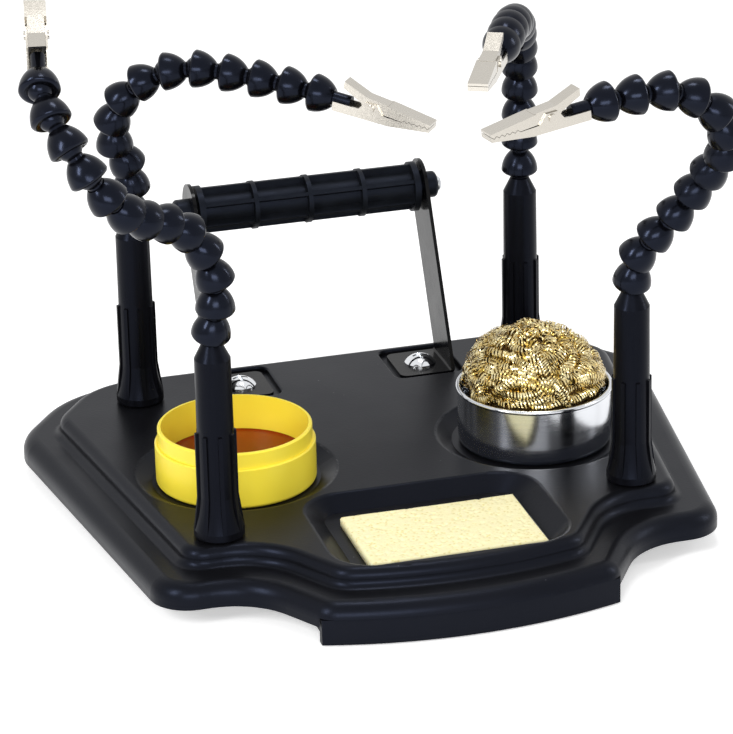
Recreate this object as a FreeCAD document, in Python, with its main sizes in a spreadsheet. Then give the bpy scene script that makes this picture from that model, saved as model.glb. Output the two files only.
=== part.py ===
import FreeCAD
import Part
import Sketcher
import math
import os
import re

# Soldering iron station: a two-tier base with a flux cup, a tin of brass wool, a sponge tray and a drawer,
# a reel roller on folded brackets, and four ball-and-socket arms that carry spring clips.
#
# Millimetres and degrees. +Z is up, +Y is to the back, and the table is at z = 0 while the parts are laid
# out. The finished pieces are moved together, so that the origin is the middle of the whole station's
# bounding box at table level.

SIZES = {
    # base shell: outline of the skirt, right half, corner by corner from the back
    "back_reach": 104.0,
    "back_half": 100.0,
    "shoulder_reach": 64.0,
    "shoulder_half": 127.5,
    "front_reach": 91.5,
    "front_half": 105.0,
    "step_half": 72.0,
    "apron_reach": 121.0,
    "apron_half": 54.0,
    "apron_bow": 8.0,
    "back_corner": 45.0,
    "shoulder_corner": 28.0,
    "front_corner": 15.0,
    "step_corner": 28.0,
    "apron_corner": 10.0,
    # how far a cutting form reaches past what it cuts, or a boss into what it joins
    "overshoot": 1.0,
    # base shell: heights and edges
    "skirt_bottom": 7.0,
    "skirt_height": 9.0,
    "deck_rise": 7.0,
    "shell_wall": 2.5,
    "ledge_width": 14.4,
    "deck_back_corner": 32.0,
    "deck_shoulder_corner": 16.0,
    "deck_front_corner": 9.0,
    "deck_step_corner": 28.0,
    "deck_apron_corner": 12.0,
    "ledge_round": 6.0,
    "deck_round": 3.8,
    "riser_fillet": 3.0,
    # seats of the cup and the tin
    "seat_side": 58.4,
    "seat_front": 11.3,
    "seat_radius": 31.6,
    "seat_depth": 3.2,
    "seat_flare": 6.0,
    "seat_round": 3.0,
    # sponge tray
    "tray_half": 36.5,
    "tray_back": 49.0,
    "tray_setback": 18.0,
    "tray_depth": 6.0,
    "tray_flare": 5.0,
    "tray_side_flare": 8.0,
    "tray_corner": 8.0,
    "tray_round": 2.0,
    # plate under the shell, its screws and the feet
    "plate_gap": 0.4,
    "plate_lift": 0.5,
    "plate_thick": 1.5,
    "boss_radius": 4.0,
    "boss_side": 96.0,
    "boss_back": 22.0,
    "boss_front_side": 87.0,
    "boss_front": 46.0,
    "boss_rear": 72.0,
    "plate_screw_radius": 1.45,
    "plate_screw_head": 3.0,
    "plate_screw_head_height": 1.8,
    "plate_screw_length": 8.0,
    "screw_edge": 0.8,
    "foot_radius": 7.0,
    "foot_taper": 0.8,
    "foot_peg": 2.4,
    "foot_peg_tip": 0.7,
    "foot_front_side": 88.0,
    "foot_front": 64.0,
    "foot_back_side": 98.0,
    "foot_back": 58.0,
    # drawer
    "drawer_half": 55.0,
    "drawer_side_inset": 2.0,
    "drawer_bottom": 0.6,
    "drawer_height": 9.6,
    "drawer_wall": 1.6,
    "drawer_front_thick": 3.0,
    "drawer_setback": 0.8,
    "drawer_back": 31.0,
    "drawer_lip": 5.5,
    "drawer_lip_gap": 0.3,
    "drawer_lip_thick": 1.1,
    "drawer_lip_length": 30.0,
    "drawer_gap": 0.4,
    # arm posts
    "post_side": 78.0,
    "post_reach": 66.0,
    "post_height": 68.4,
    "post_radius": 6.5,
    "post_foot_radius": 9.2,
    "post_foot_height": 3.4,
    "post_foot_undercut": 0.9,
    "post_flare_height": 16.0,
    "post_cone": 5.6,
    "post_neck": 3.7,
    "post_taper": 0.3,
    "post_flare_radius": 60.0,
    "post_lip": 0.3,
    "rib_count": 8,
    "rib_rise": 0.7,
    "rib_width": 1.5,
    "rib_top": 41.0,
    "rib_root": 1.0,
    "post_spigot": 3.5,
    "post_screw_radius": 1.95,
    "post_screw_head": 5.2,
    "post_screw_head_height": 2.4,
    "post_screw_length": 12.0,
    # links of the arms
    "link_pitch": 11.5,
    "ball_radius": 4.6,
    "ball_gap": 0.05,
    "waist_radius": 3.0,
    "socket_mouth": 1.7,
    "mouth_lip": 5.2,
    "mouth_drop": 0.2,
    "bell_radius": 7.1,
    "bell_rim": 0.7,
    "bell_rim_round": 1.8,
    "bell_top": 7.1,
    "bell_top_radius": 3.7,
    "bell_edge": 0.3,
    "dome_radius": 11.0,
    "ball_top": 3.8,
    # clips at the ends of the arms
    "ferrule_radius": 2.6,
    "ferrule_end": 14.0,
    "ferrule_neck": 3.4,
    "clip_start": 8.0,
    "clip_pivot": 22.5,
    "clip_pivot_rise": 1.2,
    "clip_length": 46.0,
    "clip_width": 7.4,
    "clip_sheet": 0.7,
    "clip_depth": 3.4,
    "clip_nose": 1.3,
    "clip_side_gap": 0.1,
    "ear_rise": 2.0,
    "ear_half": 2.2,
    "ear_rear": 4.5,
    "ear_front": 5.0,
    "jaw_shoulder": 7.5,
    "jaw_gap": 0.3,
    "nose_rear": 5.8,
    "nose_rise": 2.8,
    "nose_slope": 9.0,
    "lever_reach": 11.5,
    "lever_rise": 7.4,
    "lever_wall": 2.6,
    "lever_ear": 1.8,
    "lever_rear": 4.0,
    "lever_front": 6.5,
    "lever_hump": 3.7,
    "clip_tooth": 2.0,
    "clip_tooth_depth": 0.8,
    "clip_tooth_gap": 0.2,
    "rivet_radius": 0.9,
    "rivet_gap": 0.05,
    "rivet_head": 1.5,
    "rivet_head_thick": 0.6,
    "spring_radius": 1.65,
    "spring_wire": 0.3,
    "spring_pitch": 1.05,
    "spring_ease": 1.6,
    "spring_leg": 6.9,
    "spring_first": 17.0,
    "spring_last": 170.0,
    "spring_turns": 3,
    # spool roller, its axle and brackets
    "axle_height": 85.5,
    "axle_radius": 3.0,
    "axle_gap": 0.05,
    "axle_stub": 1.6,
    "axle_edge": 0.8,
    "axle_nut_radius": 5.3,
    "axle_nut_length": 6.0,
    "axle_nut_round": 1.6,
    "washer_radius": 6.2,
    "washer_thick": 1.0,
    "roller_pitch": 22.0,
    "roller_flange": 10.0,
    "roller_flange_thick": 2.4,
    "roller_rib": 9.6,
    "roller_rib_thick": 1.8,
    "roller_core": 6.4,
    "roller_fin": 9.4,
    "roller_fin_thick": 1.4,
    "roller_fin_count": 6,
    "roller_fin_root": 1.0,
    "roller_play": 0.3,
    "bracket_sheet": 1.4,
    "bracket_width": 22.0,
    "bracket_lean": 26.0,
    "bracket_foot": 22.0,
    "foot_setback": 7.8,
    "bracket_bend": 1.0,
    "bracket_foot_corner": 3.0,
    "bracket_sink": 2.0,
    "bracket_margin": 2.7,
    "recess_corner": 4.0,
    "recess_round": 0.9,
    "bracket_screw_in": 11.0,
    "bracket_screw_radius": 2.0,
    "bracket_screw_head": 6.2,
    "bracket_screw_rim": 0.6,
    "bracket_screw_dome": 3.0,
    "cross_half": 3.0,
    "cross_width": 1.1,
    "cross_depth": 1.6,
    "bracket_nut_flats": 7.0,
    "bracket_nut_height": 3.2,
    "screw_gap": 0.05,
    # flux cup and rosin
    "cup_radius": 30.0,
    "cup_height": 21.7,
    "cup_wall": 1.3,
    "cup_neck": 6.0,
    "cup_neck_radius": 28.8,
    "cup_base_round": 1.5,
    "cup_edge": 0.45,
    "rosin_level": 14.0,
    "rosin_gap": 0.3,
    "rosin_meniscus": 2.0,
    "rosin_creep": 0.5,
    # tin and brass wool
    "tin_radius": 29.1,
    "tin_height": 22.9,
    "tin_wall": 0.5,
    "tin_base_round": 2.6,
    "tin_rim": 0.9,
    "wool_gap": 1.2,
    "wool_seat": 0.5,
    "wool_rise": 24.0,
    "wool_rows": 7,
    "wool_last_row": 78.0,
    # sponge
    "sponge_side_room": 3.5,
    "sponge_back_room": 10.7,
    "sponge_front_room": 1.5,
    "sponge_thick": 3.7,
    "sponge_shift": 1.4,
    "sponge_round": 0.8,
}

# Rest pose of each arm: heading (from +X towards +Y) and tilt from upright of every link, then of the clip.
ARMS = {
    "front_left": (
        (-75, 20), (-96, 12), (-154, 20), (-153, 38), (-148, 58), (-145, 68),
        (-138, 62), (-145, 48), (-170, 36), (156, 32), (128, 38), (102, 46), (80, 58),
    ),
    "front_right": (
        (-87, 22), (-52, 38), (-38, 41), (-42, 36), (-56, 37), (-70, 43),
        (-101, 31), (-141, 35), (-164, 51), (-174, 70), (-178, 90), (-174, 94), (-170, 96),
    ),
    "rear_left": (
        (-82, 12), (-118, 22), (-143, 35), (-107, 25), (-65, 32), (-41, 47),
        (-28, 65), (-23, 84), (-25, 96), (-30, 98), (-32, 99), (-34, 100), (-36, 101),
    ),
    "rear_right": (
        (-100, 4), (-104, 8), (-106, 14), (-108, 22), (-108, 34), (-110, 46),
        (-110, 58), (-112, 68), (-112, 76), (-114, 82), (-114, 86), (-116, 90), (-118, 92),
    ),
}
# How the links are shared among the pieces that turn against each other.
LINK_GROUPS = (2, 2, 3, 3, 2)

doc = FreeCAD.newDocument("soldering_station")
sheet = doc.addObject("Spreadsheet::Sheet", "Sizes")
for row, (alias, size) in enumerate(SIZES.items(), start=1):
    sheet.set("A%d" % row, alias)
    sheet.set("B%d" % row, str(size))
    sheet.setAlias("B%d" % row, alias)
doc.recompute()

nodes = []


def cells(text):
    """The expression with each size's name pointed at its cell."""

    def pointed(word):
        return "Sizes." + word.group() if word.group() in SIZES else word.group()

    return re.sub(r"[a-z_]+", pointed, text)


def size(text):
    """The value of an expression in the sheet's sizes."""
    return float(sheet.evalExpression(cells(text)))


def bind(item, **sizes):
    """Bind properties of an object to expressions in the sheet's sizes."""
    for name, text in sizes.items():
        item.setExpression(name, cells(text))


def place(item, across="0", back="0", up="0"):
    """Bind an object's position to expressions in the sheet's sizes."""
    item.setExpression("Placement.Base.x", cells(across))
    item.setExpression("Placement.Base.y", cells(back))
    item.setExpression("Placement.Base.z", cells(up))


def node(name, item):
    """Make an object a kept sub-part under its own name."""
    item.Label = name
    nodes.append(item)
    return item


def arc_between(start, end, radius):
    """Arc from start to end: its centre is on the left of the way there if the radius is positive."""
    chord = end - start
    half = chord.Length / 2
    left = FreeCAD.Vector(-chord.y, chord.x, 0) / chord.Length
    centre = start + chord / 2 + left * math.copysign(math.sqrt(max(radius**2 - half**2, 0)), radius)
    first, last = (start, end) if radius > 0 else (end, start)
    angles = [math.atan2(spot.y - centre.y, spot.x - centre.x) for spot in (first, last)]
    circle = Part.Circle(centre, FreeCAD.Vector(0, 0, 1), abs(radius))
    return Part.ArcOfCircle(circle, angles[0], angles[1])


def outline(item, points):
    """Draw a closed outline in a sketch. A point is two expressions; a third is the radius of the arc to the
    next point, which is positive where the arc bulges out of an outline that runs anticlockwise."""
    spots = [FreeCAD.Vector(size(point[0]), size(point[1]), 0) for point in points]
    ends = []
    for index, point in enumerate(points):
        start, end = spots[index], spots[(index + 1) % len(spots)]
        if len(point) == 2:
            item.addGeometry(Part.LineSegment(start, end))
            ends.append((1, 2))
            continue
        radius = size(point[2])
        item.addGeometry(arc_between(start, end, radius))
        ends.append((1, 2) if radius > 0 else (2, 1))
        bound = item.addConstraint(Sketcher.Constraint("Radius", index, abs(radius)))
        item.setExpression("Constraints[%d]" % bound, cells("abs(%s)" % point[2]))
    for index, point in enumerate(points):
        before = index - 1 if index else len(points) - 1
        item.addConstraint(Sketcher.Constraint("Coincident", before, ends[before][1], index, ends[index][0]))
        for kind, text in (("DistanceX", point[0]), ("DistanceY", point[1])):
            bound = item.addConstraint(Sketcher.Constraint(kind, -1, 1, index, ends[index][0], size(text)))
            item.setExpression("Constraints[%d]" % bound, cells(text))
    return item


def plan(name, points):
    """Sketch that lies flat, outside any body."""
    return outline(doc.addObject("Sketcher::SketchObject", name), points)


def attached(owner, name, role, offset="0"):
    """Empty sketch on one of a body's own origin planes, moved along the plane's normal by the offset."""
    item = owner.newObject("Sketcher::SketchObject", name)
    ground = [plane for plane in owner.Origin.OriginFeatures if plane.Role == role]
    item.AttachmentSupport = [(ground[0], "")]
    item.MapMode = "FlatFace"
    item.setExpression("AttachmentOffset.Base.z", cells(offset))
    return item


def drawn(owner, name, role, points, offset="0"):
    """Sketch of an outline on one of a body's planes."""
    return outline(attached(owner, name, role, offset), points)


def ringed(owner, name, role, across, up, radius, offset="0"):
    """Sketch of a circle on one of a body's planes."""
    item = attached(owner, name, role, offset)
    centre = FreeCAD.Vector(size(across), size(up), 0)
    item.addGeometry(Part.Circle(centre, FreeCAD.Vector(0, 0, 1), size(radius)))
    bound = item.addConstraint(Sketcher.Constraint("Radius", 0, size(radius)))
    item.setExpression("Constraints[%d]" % bound, cells(radius))
    for kind, text in (("DistanceX", across), ("DistanceY", up)):
        bound = item.addConstraint(Sketcher.Constraint(kind, -1, 1, 0, 3, size(text)))
        item.setExpression("Constraints[%d]" % bound, cells(text))
    return item


def turned(name, points):
    """Body turned about Z from an outline of radius and height."""
    owner = doc.addObject("PartDesign::Body", name)
    profile = drawn(owner, name + "_profile", "XZ_Plane", points)
    turn = owner.newObject("PartDesign::Revolution", name + "_turn")
    turn.Profile = profile
    turn.ReferenceAxis = (profile, ["V_Axis"])
    turn.Angle = 360
    doc.recompute()
    return owner


def padded(owner, name, profile, length, midplane=False):
    """Pad of a body's sketch."""
    item = owner.newObject("PartDesign::Pad", name)
    item.Profile = profile
    item.Midplane = midplane
    bind(item, Length=length)
    return item


def pocketed(owner, name, profile, length, midplane=False, reverse=False):
    """Pocket of a body's sketch, which must take something away."""
    doc.recompute()
    before = owner.Shape.Volume
    item = owner.newObject("PartDesign::Pocket", name)
    item.Profile = profile
    item.Midplane = midplane
    item.Reversed = reverse
    bind(item, Length=length)
    doc.recompute()
    if owner.Shape.Volume > before - 1e-6:
        raise RuntimeError(name + " cuts nothing")
    return item


def extruded(name, source, low, high):
    """Upright solid over a flat outline, between two heights."""
    item = doc.addObject("Part::Extrusion", name)
    item.Base = source
    item.DirMode = "Custom"
    item.Dir = FreeCAD.Vector(0, 0, 1)
    item.Solid = True
    bind(item, LengthFwd="(%s) - (%s)" % (high, low))
    place(item, up=low)
    doc.recompute()
    return item


def inset(name, source, distance):
    """Outline that lies inside another one by a distance, with sharp corners."""
    item = doc.addObject("Part::Offset2D", name)
    item.Source = source
    item.Join = 2
    bind(item, Value="-(%s)" % distance)
    doc.recompute()
    return item


def joined(name, items):
    """Union of objects."""
    item = doc.addObject("Part::MultiFuse", name)
    item.Shapes = items
    item.Refine = True
    doc.recompute()
    return item


def cut(name, base, tool):
    """Difference of two objects."""
    item = doc.addObject("Part::Cut", name)
    item.Base = base
    item.Tool = tool
    doc.recompute()
    return item


def cylinder(name, radius, across, back, low, high):
    """Upright cylinder between two heights."""
    item = doc.addObject("Part::Cylinder", name)
    bind(item, Radius=radius, Height="(%s) - (%s)" % (high, low))
    place(item, across, back, low)
    return item


def box(name, left, right, front, back, low, high):
    """Box between six planes."""
    item = doc.addObject("Part::Box", name)
    bind(item, Length="(%s) - (%s)" % (right, left), Width="(%s) - (%s)" % (back, front))
    bind(item, Height="(%s) - (%s)" % (high, low))
    place(item, left, front, low)
    return item


def filleted(name, base, edges):
    """Fillet of numbered edges, each with its radius."""
    item = doc.addObject("Part::Fillet", name)
    item.Base = base
    item.Edges = [(number, radius, radius) for number, radius in edges]
    doc.recompute()
    return item


def level_edges(shape, height):
    """Numbers of the edges that lie level at a height."""
    found = []
    for number, edge in enumerate(shape.Edges, start=1):
        if abs(edge.BoundBox.ZMin - height) < 1e-4 and abs(edge.BoundBox.ZMax - height) < 1e-4:
            found.append(number)
    return found


def corner_rounded(name, base, radii):
    """Round the upright edges: each takes the radius of the skirt's corner that it is nearest to."""
    edges = []
    for number, edge in enumerate(base.Shape.Edges, start=1):
        if edge.BoundBox.XLength > 1e-4 or edge.BoundBox.YLength > 1e-4:
            continue
        spot = edge.CenterOfMass
        gaps = {}
        for corner, (across, back) in CORNERS.items():
            gaps[corner] = math.hypot(abs(spot.x) - size(across), spot.y - size(back))
        edges.append((number, size(radii[min(gaps, key=gaps.get)])))
    return filleted(name, base, edges)


def copied(name, shape, placement):
    """Copy of a shape at a place."""
    item = doc.addObject("Part::Feature", name)
    item.Shape = shape
    item.Placement = placement
    return item


def grouped(name, shapes):
    """Separate solids that share one node."""
    item = doc.addObject("Part::Feature", name)
    item.Shape = Part.makeCompound(shapes)
    return item


def at(across, back, up):
    """Placement without a turn, from expressions."""
    return FreeCAD.Placement(FreeCAD.Vector(size(across), size(back), size(up)), FreeCAD.Rotation())


def moved(shape, placement):
    """Copy of a shape, moved by a placement."""
    return shape.transformed(placement.toMatrix())


# ---------------------------------------------------------------- outline of the base
CORNERS = {
    "back": ("back_half", "back_reach"),
    "shoulder": ("shoulder_half", "shoulder_reach"),
    "front": ("front_half", "-front_reach"),
    "step": ("step_half", "-front_reach"),
    "apron": ("apron_half", "-apron_reach"),
}
APRON_RADIUS = "((apron_half^2 + apron_bow^2) / (2 * apron_bow))"
SKIRT_RADII = {corner: corner + "_corner" for corner in CORNERS}
INNER_RADII = {
    "back": "back_corner - shell_wall",
    "shoulder": "shoulder_corner - shell_wall",
    "front": "front_corner - shell_wall",
    "step": "step_corner + shell_wall",
    "apron": "apron_corner - shell_wall",
}
DECK_RADII = {corner: "deck_%s_corner" % corner for corner in CORNERS}
INNER_DECK_RADII = {
    "back": "deck_back_corner - shell_wall",
    "shoulder": "deck_shoulder_corner - shell_wall",
    "front": "deck_front_corner - shell_wall",
    "step": "deck_step_corner + shell_wall",
    "apron": "deck_apron_corner - shell_wall",
}
LEDGE_TOP = "(skirt_bottom + skirt_height)"
DECK_TOP = "(skirt_bottom + skirt_height + deck_rise)"
DECK_UNDER = "(skirt_bottom + skirt_height + deck_rise - shell_wall)"

right_side = [CORNERS[corner] for corner in ("apron", "step", "front", "shoulder", "back")]
left_side = [("-" + across, back) for across, back in reversed(right_side)]
left_side[-1] = left_side[-1] + (APRON_RADIUS,)
base_plan = plan("base_plan", right_side + left_side)

# ---------------------------------------------------------------- base shell
skirt_block = extruded("skirt_block", base_plan, "skirt_bottom", LEDGE_TOP)
skirt_cornered = corner_rounded("skirt_cornered", skirt_block, SKIRT_RADII)
ledge_edges = level_edges(skirt_cornered.Shape, size(LEDGE_TOP))
skirt = filleted("skirt", skirt_cornered, [(number, size("ledge_round")) for number in ledge_edges])

deck_plan = inset("deck_plan", base_plan, "ledge_width")
deck_block = extruded("deck_block", deck_plan, LEDGE_TOP + " - overshoot", DECK_TOP)
deck_cornered = corner_rounded("deck_cornered", deck_block, DECK_RADII)
deck_edges = level_edges(deck_cornered.Shape, size(DECK_TOP))
deck = filleted("deck", deck_cornered, [(number, size("deck_round")) for number in deck_edges])
two_tiers = joined("two_tiers", [skirt, deck])
riser_edges = []
for number in level_edges(two_tiers.Shape, size(LEDGE_TOP)):
    middle = two_tiers.Shape.Edges[number - 1]
    middle = middle.valueAt((middle.FirstParameter + middle.LastParameter) / 2)
    if deck.Shape.distToShape(Part.Vertex(middle))[0] < 1e-4:
        riser_edges.append((number, size("riser_fillet")))
outside = filleted("outside", two_tiers, riser_edges)


def rounded_rectangle(half, front, back, radius):
    """Rectangle about the Y axis with round corners, as outline points."""
    right = "(%s)" % half
    inner = "(%s - (%s))" % (half, radius)
    return [
        ("-" + inner, front),
        (inner, front, radius),
        (right, "%s + (%s)" % (front, radius)),
        (right, "%s - (%s)" % (back, radius), radius),
        (inner, back),
        ("-" + inner, back, radius),
        ("-" + right, "%s - (%s)" % (back, radius)),
        ("-" + right, "%s + (%s)" % (front, radius), radius),
    ]


TRAY_FRONT = "(tray_setback - apron_reach)"


def tray_form(name, grow, drop):
    """Flared block that fills the sponge tray, grown and lowered by a wall."""
    flare = "(tray_flare + %s)" % grow
    side_flare = "(tray_side_flare + %s)" % grow
    floor_points = rounded_rectangle(
        "tray_half + " + grow,
        "%s - %s" % (TRAY_FRONT, grow),
        "-tray_back + " + grow,
        "tray_corner + " + grow,
    )
    rim_points = rounded_rectangle(
        "tray_half + " + side_flare,
        "%s - %s" % (TRAY_FRONT, flare),
        "-tray_back + " + flare,
        "tray_corner + " + side_flare,
    )
    floor = plan(name + "_floor", floor_points)
    place(floor, up="%s - tray_depth - %s" % (DECK_TOP, drop))
    rim = plan(name + "_rim", rim_points)
    place(rim, up=DECK_TOP)
    form = doc.addObject("Part::Loft", name)
    form.Sections = [floor, rim]
    form.Solid = True
    form.Ruled = True
    doc.recompute()
    return form


def seat_form(name, side, grow, drop):
    """Flared round block that fills a seat, grown and lowered by a wall."""
    form = doc.addObject("Part::Cone", name)
    bind(form, Radius1="seat_radius + " + grow, Radius2="seat_radius + seat_flare + " + grow)
    bind(form, Height="seat_depth + " + drop)
    place(form, "%s seat_side" % side, "-seat_front", "%s - seat_depth - %s" % (DECK_TOP, drop))
    return form


BRACKET_HALF = "(2 * roller_pitch + roller_flange_thick / 2 + roller_play + washer_thick + bracket_sheet)"
FOOT_SPAN = "(bracket_width / cos(bracket_lean))"
FOOT_BACK = "(back_reach - ledge_width - foot_setback)"
FOOT_MIDDLE = "(%s - %s / 2)" % (FOOT_BACK, FOOT_SPAN)
FOOT_FRONT = "(%s - %s)" % (FOOT_BACK, FOOT_SPAN)
FOOT_FLOOR = "(%s - bracket_sink)" % DECK_TOP
AXLE_REACH = "(%s + (axle_height - %s) * tan(bracket_lean))" % (FOOT_MIDDLE, FOOT_FLOOR)


def recess_form(name, side, grow, drop):
    """Block that fills the recess under a bracket's foot, grown and lowered by a wall."""
    inner = "(%s - bracket_foot - bracket_margin - %s)" % (BRACKET_HALF, grow)
    outer = "(%s + bracket_margin + %s)" % (BRACKET_HALF, grow)
    left, right = (inner, outer) if side == "+" else ("-" + outer, "-" + inner)
    front = "%s - bracket_margin - %s" % (FOOT_FRONT, grow)
    back = "%s + bracket_margin + %s" % (FOOT_BACK, grow)
    block = box(name + "_block", left, right, front, back, "%s - %s" % (FOOT_FLOOR, drop), DECK_TOP)
    doc.recompute()
    corners = []
    for number, edge in enumerate(block.Shape.Edges, start=1):
        if edge.BoundBox.XLength + edge.BoundBox.YLength < 1e-4:
            corners.append((number, size("recess_corner + %s" % grow)))
    return filleted(name, block, corners)


hollow_plan = inset("hollow_plan", base_plan, "shell_wall")
hollow_skirt_block = extruded("hollow_skirt_block", hollow_plan, "skirt_bottom", LEDGE_TOP + " - shell_wall")
hollow_skirt = corner_rounded("hollow_skirt", hollow_skirt_block, INNER_RADII)
hollow_deck_plan = inset("hollow_deck_plan", base_plan, "ledge_width + shell_wall")
hollow_deck_block = extruded("hollow_deck_block", hollow_deck_plan, "skirt_bottom", DECK_UNDER)
hollow_deck = corner_rounded("hollow_deck", hollow_deck_block, INNER_DECK_RADII)
hollow_all = joined("hollow_all", [hollow_skirt, hollow_deck])

wells = [tray_form("tray_well", "shell_wall", "shell_wall")]
for side in ("-", "+"):
    word = "left" if side == "-" else "right"
    wells.append(seat_form(word + "_seat_well", side, "shell_wall", "shell_wall"))
    wells.append(recess_form(word + "_recess_well", side, "shell_wall", "shell_wall"))
hollow = cut("hollow", hollow_all, joined("all_wells", wells))
thin_shell = cut("thin_shell", outside, hollow)

PLATE_LOW = "(skirt_bottom + plate_lift)"
PLATE_HIGH = "(skirt_bottom + plate_lift + plate_thick)"
BOSSES = (
    ("boss_side", "boss_back"),
    ("-boss_side", "boss_back"),
    ("boss_front_side", "-boss_front"),
    ("-boss_front_side", "-boss_front"),
    ("0", "boss_rear"),
)
bosses = []
for index, (across, back) in enumerate(BOSSES, start=1):
    top = DECK_UNDER + " + overshoot"
    bosses.append(cylinder("boss_%d" % index, "boss_radius", across, back, PLATE_HIGH, top))
bossed_shell = joined("bossed_shell", [thin_shell] + bosses)

hollows = [tray_form("tray_hollow", "0", "0")]
for side in ("-", "+"):
    word = "left" if side == "-" else "right"
    hollows.append(seat_form(word + "_seat_hollow", side, "0", "0"))
    hollows.append(recess_form(word + "_recess_hollow", side, "0", "0"))
recessed_shell = cut("recessed_shell", bossed_shell, joined("all_hollows", hollows))
TRAY_EDGE = "(tray_half + tray_side_flare + overshoot)"
TRAY_BACK_EDGE = "(tray_flare + overshoot - tray_back)"
TRAY_FRONT_EDGE = "(%s - tray_flare - overshoot)" % TRAY_FRONT
RECESS_FRONT_EDGE = "(%s - bracket_margin - overshoot)" % FOOT_FRONT
deck_rim = []
for number in level_edges(recessed_shell.Shape, size(DECK_TOP)):
    spot = recessed_shell.Shape.Edges[number - 1].BoundBox
    off_seat = abs(abs(spot.Center.x) - size("seat_side"))
    in_tray = spot.YMax < size(TRAY_BACK_EDGE) and spot.YMin > size(TRAY_FRONT_EDGE)
    in_recess = spot.YMin > size(RECESS_FRONT_EDGE) and spot.XLength < size("bracket_foot + 3 * bracket_margin")
    if spot.XLength > 2 * size("seat_radius") and off_seat < size("seat_flare"):
        deck_rim.append((number, size("seat_round")))
    elif in_tray and max(-spot.XMin, spot.XMax) < size(TRAY_EDGE):
        deck_rim.append((number, size("tray_round")))
    elif in_recess and abs(spot.Center.x) < size(BRACKET_HALF + " + 2 * bracket_margin"):
        deck_rim.append((number, size("recess_round")))
soft_shell = filleted("soft_shell", recessed_shell, deck_rim)

POSTS = {
    "front_left": ("-post_side", "-post_reach"),
    "front_right": ("post_side", "-post_reach"),
    "rear_left": ("-post_side", "post_reach"),
    "rear_right": ("post_side", "post_reach"),
}
SCREW_SIDE = "(%s - bracket_screw_in)" % BRACKET_HALF
drills = []
OVER_DECK = "(%s + overshoot)" % DECK_TOP
for name, (across, back) in POSTS.items():
    hole = "post_spigot + screw_gap"
    drills.append(cylinder(name + "_post_drill", hole, across, back, "skirt_bottom", OVER_DECK))
for side in ("-", "+"):
    word = "left" if side == "-" else "right"
    hole = "bracket_screw_radius + 2 * screw_gap"
    across = side + SCREW_SIDE
    drills.append(cylinder(word + "_foot_drill", hole, across, FOOT_MIDDLE, "skirt_bottom", DECK_TOP))
for index, (across, back) in enumerate(BOSSES, start=1):
    hole = "plate_screw_radius + screw_gap"
    top = DECK_UNDER + " - overshoot"
    drills.append(cylinder("boss_drill_%d" % index, hole, across, back, PLATE_LOW, top))
DRAWER_TOP = "(drawer_bottom + drawer_height)"
DRAWER_SIDE = "(drawer_half - drawer_side_inset)"
notch = box(
    "drawer_notch",
    "-drawer_half - drawer_gap",
    "drawer_half + drawer_gap",
    "-apron_reach - apron_bow - overshoot",
    "-front_reach",
    "skirt_bottom - overshoot",
    DRAWER_TOP + " + drawer_gap",
)
node("base_shell", cut("base_shell", soft_shell, joined("shell_drills", drills + [notch])))

# ---------------------------------------------------------------- bottom plate, screws and feet
plate_plan = inset("plate_plan", base_plan, "shell_wall + plate_gap")
plate_block = extruded("plate_block", plate_plan, PLATE_LOW, PLATE_HIGH)
plate_cornered = corner_rounded("plate_cornered", plate_block, INNER_RADII)
plate_cuts = [
    box(
        "drawer_slot",
        "-%s - drawer_gap" % DRAWER_SIDE,
        DRAWER_SIDE + " + drawer_gap",
        "-apron_reach - apron_bow",
        "-drawer_back + drawer_gap",
        "0",
        DECK_TOP,
    ),
    box(
        "drawer_front_slot",
        "-drawer_half - drawer_gap",
        "drawer_half + drawer_gap",
        "-apron_reach - apron_bow",
        "-apron_reach + drawer_front_thick + drawer_setback + overshoot",
        "0",
        DECK_TOP,
    ),
]
for index, (across, back) in enumerate(BOSSES, start=1):
    hole = "plate_screw_radius + 2 * screw_gap"
    plate_cuts.append(cylinder("plate_hole_%d" % index, hole, across, back, "0", DECK_TOP))
FEET = (
    ("foot_front_side", "-foot_front"),
    ("-foot_front_side", "-foot_front"),
    ("foot_back_side", "foot_back"),
    ("-foot_back_side", "foot_back"),
)
for index, (across, back) in enumerate(FEET, start=1):
    plate_cuts.append(cylinder("peg_hole_%d" % index, "foot_peg + screw_gap", across, back, "0", DECK_TOP))
node("bottom_plate", cut("bottom_plate", plate_cornered, joined("plate_cuts", plate_cuts)))

plate_screw = turned(
    "plate_screw",
    [
        ("0", "-plate_screw_head_height"),
        ("plate_screw_head - screw_edge", "-plate_screw_head_height"),
        ("plate_screw_head", "-plate_screw_head_height + screw_edge"),
        ("plate_screw_head", "0"),
        ("plate_screw_radius", "0"),
        ("plate_screw_radius", "plate_screw_length - plate_screw_radius"),
        ("0", "plate_screw_length"),
    ],
)
screws = [moved(plate_screw.Shape, at(across, back, PLATE_LOW)) for across, back in BOSSES]
node("bottom_plate_screws", grouped("bottom_plate_screws", screws))

foot = turned(
    "foot",
    [
        ("0", "0"),
        ("foot_radius - foot_taper", "0"),
        ("foot_radius", "foot_taper"),
        ("foot_radius - foot_taper", PLATE_LOW),
        ("foot_peg", PLATE_LOW),
        ("foot_peg", PLATE_HIGH),
        ("foot_peg - foot_peg_tip", PLATE_HIGH + " + foot_peg_tip"),
        ("0", PLATE_HIGH + " + foot_peg_tip"),
    ],
)
feet = [moved(foot.Shape, at(across, back, "0")) for across, back in FEET]
node("rubber_feet", grouped("rubber_feet", feet))

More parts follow.
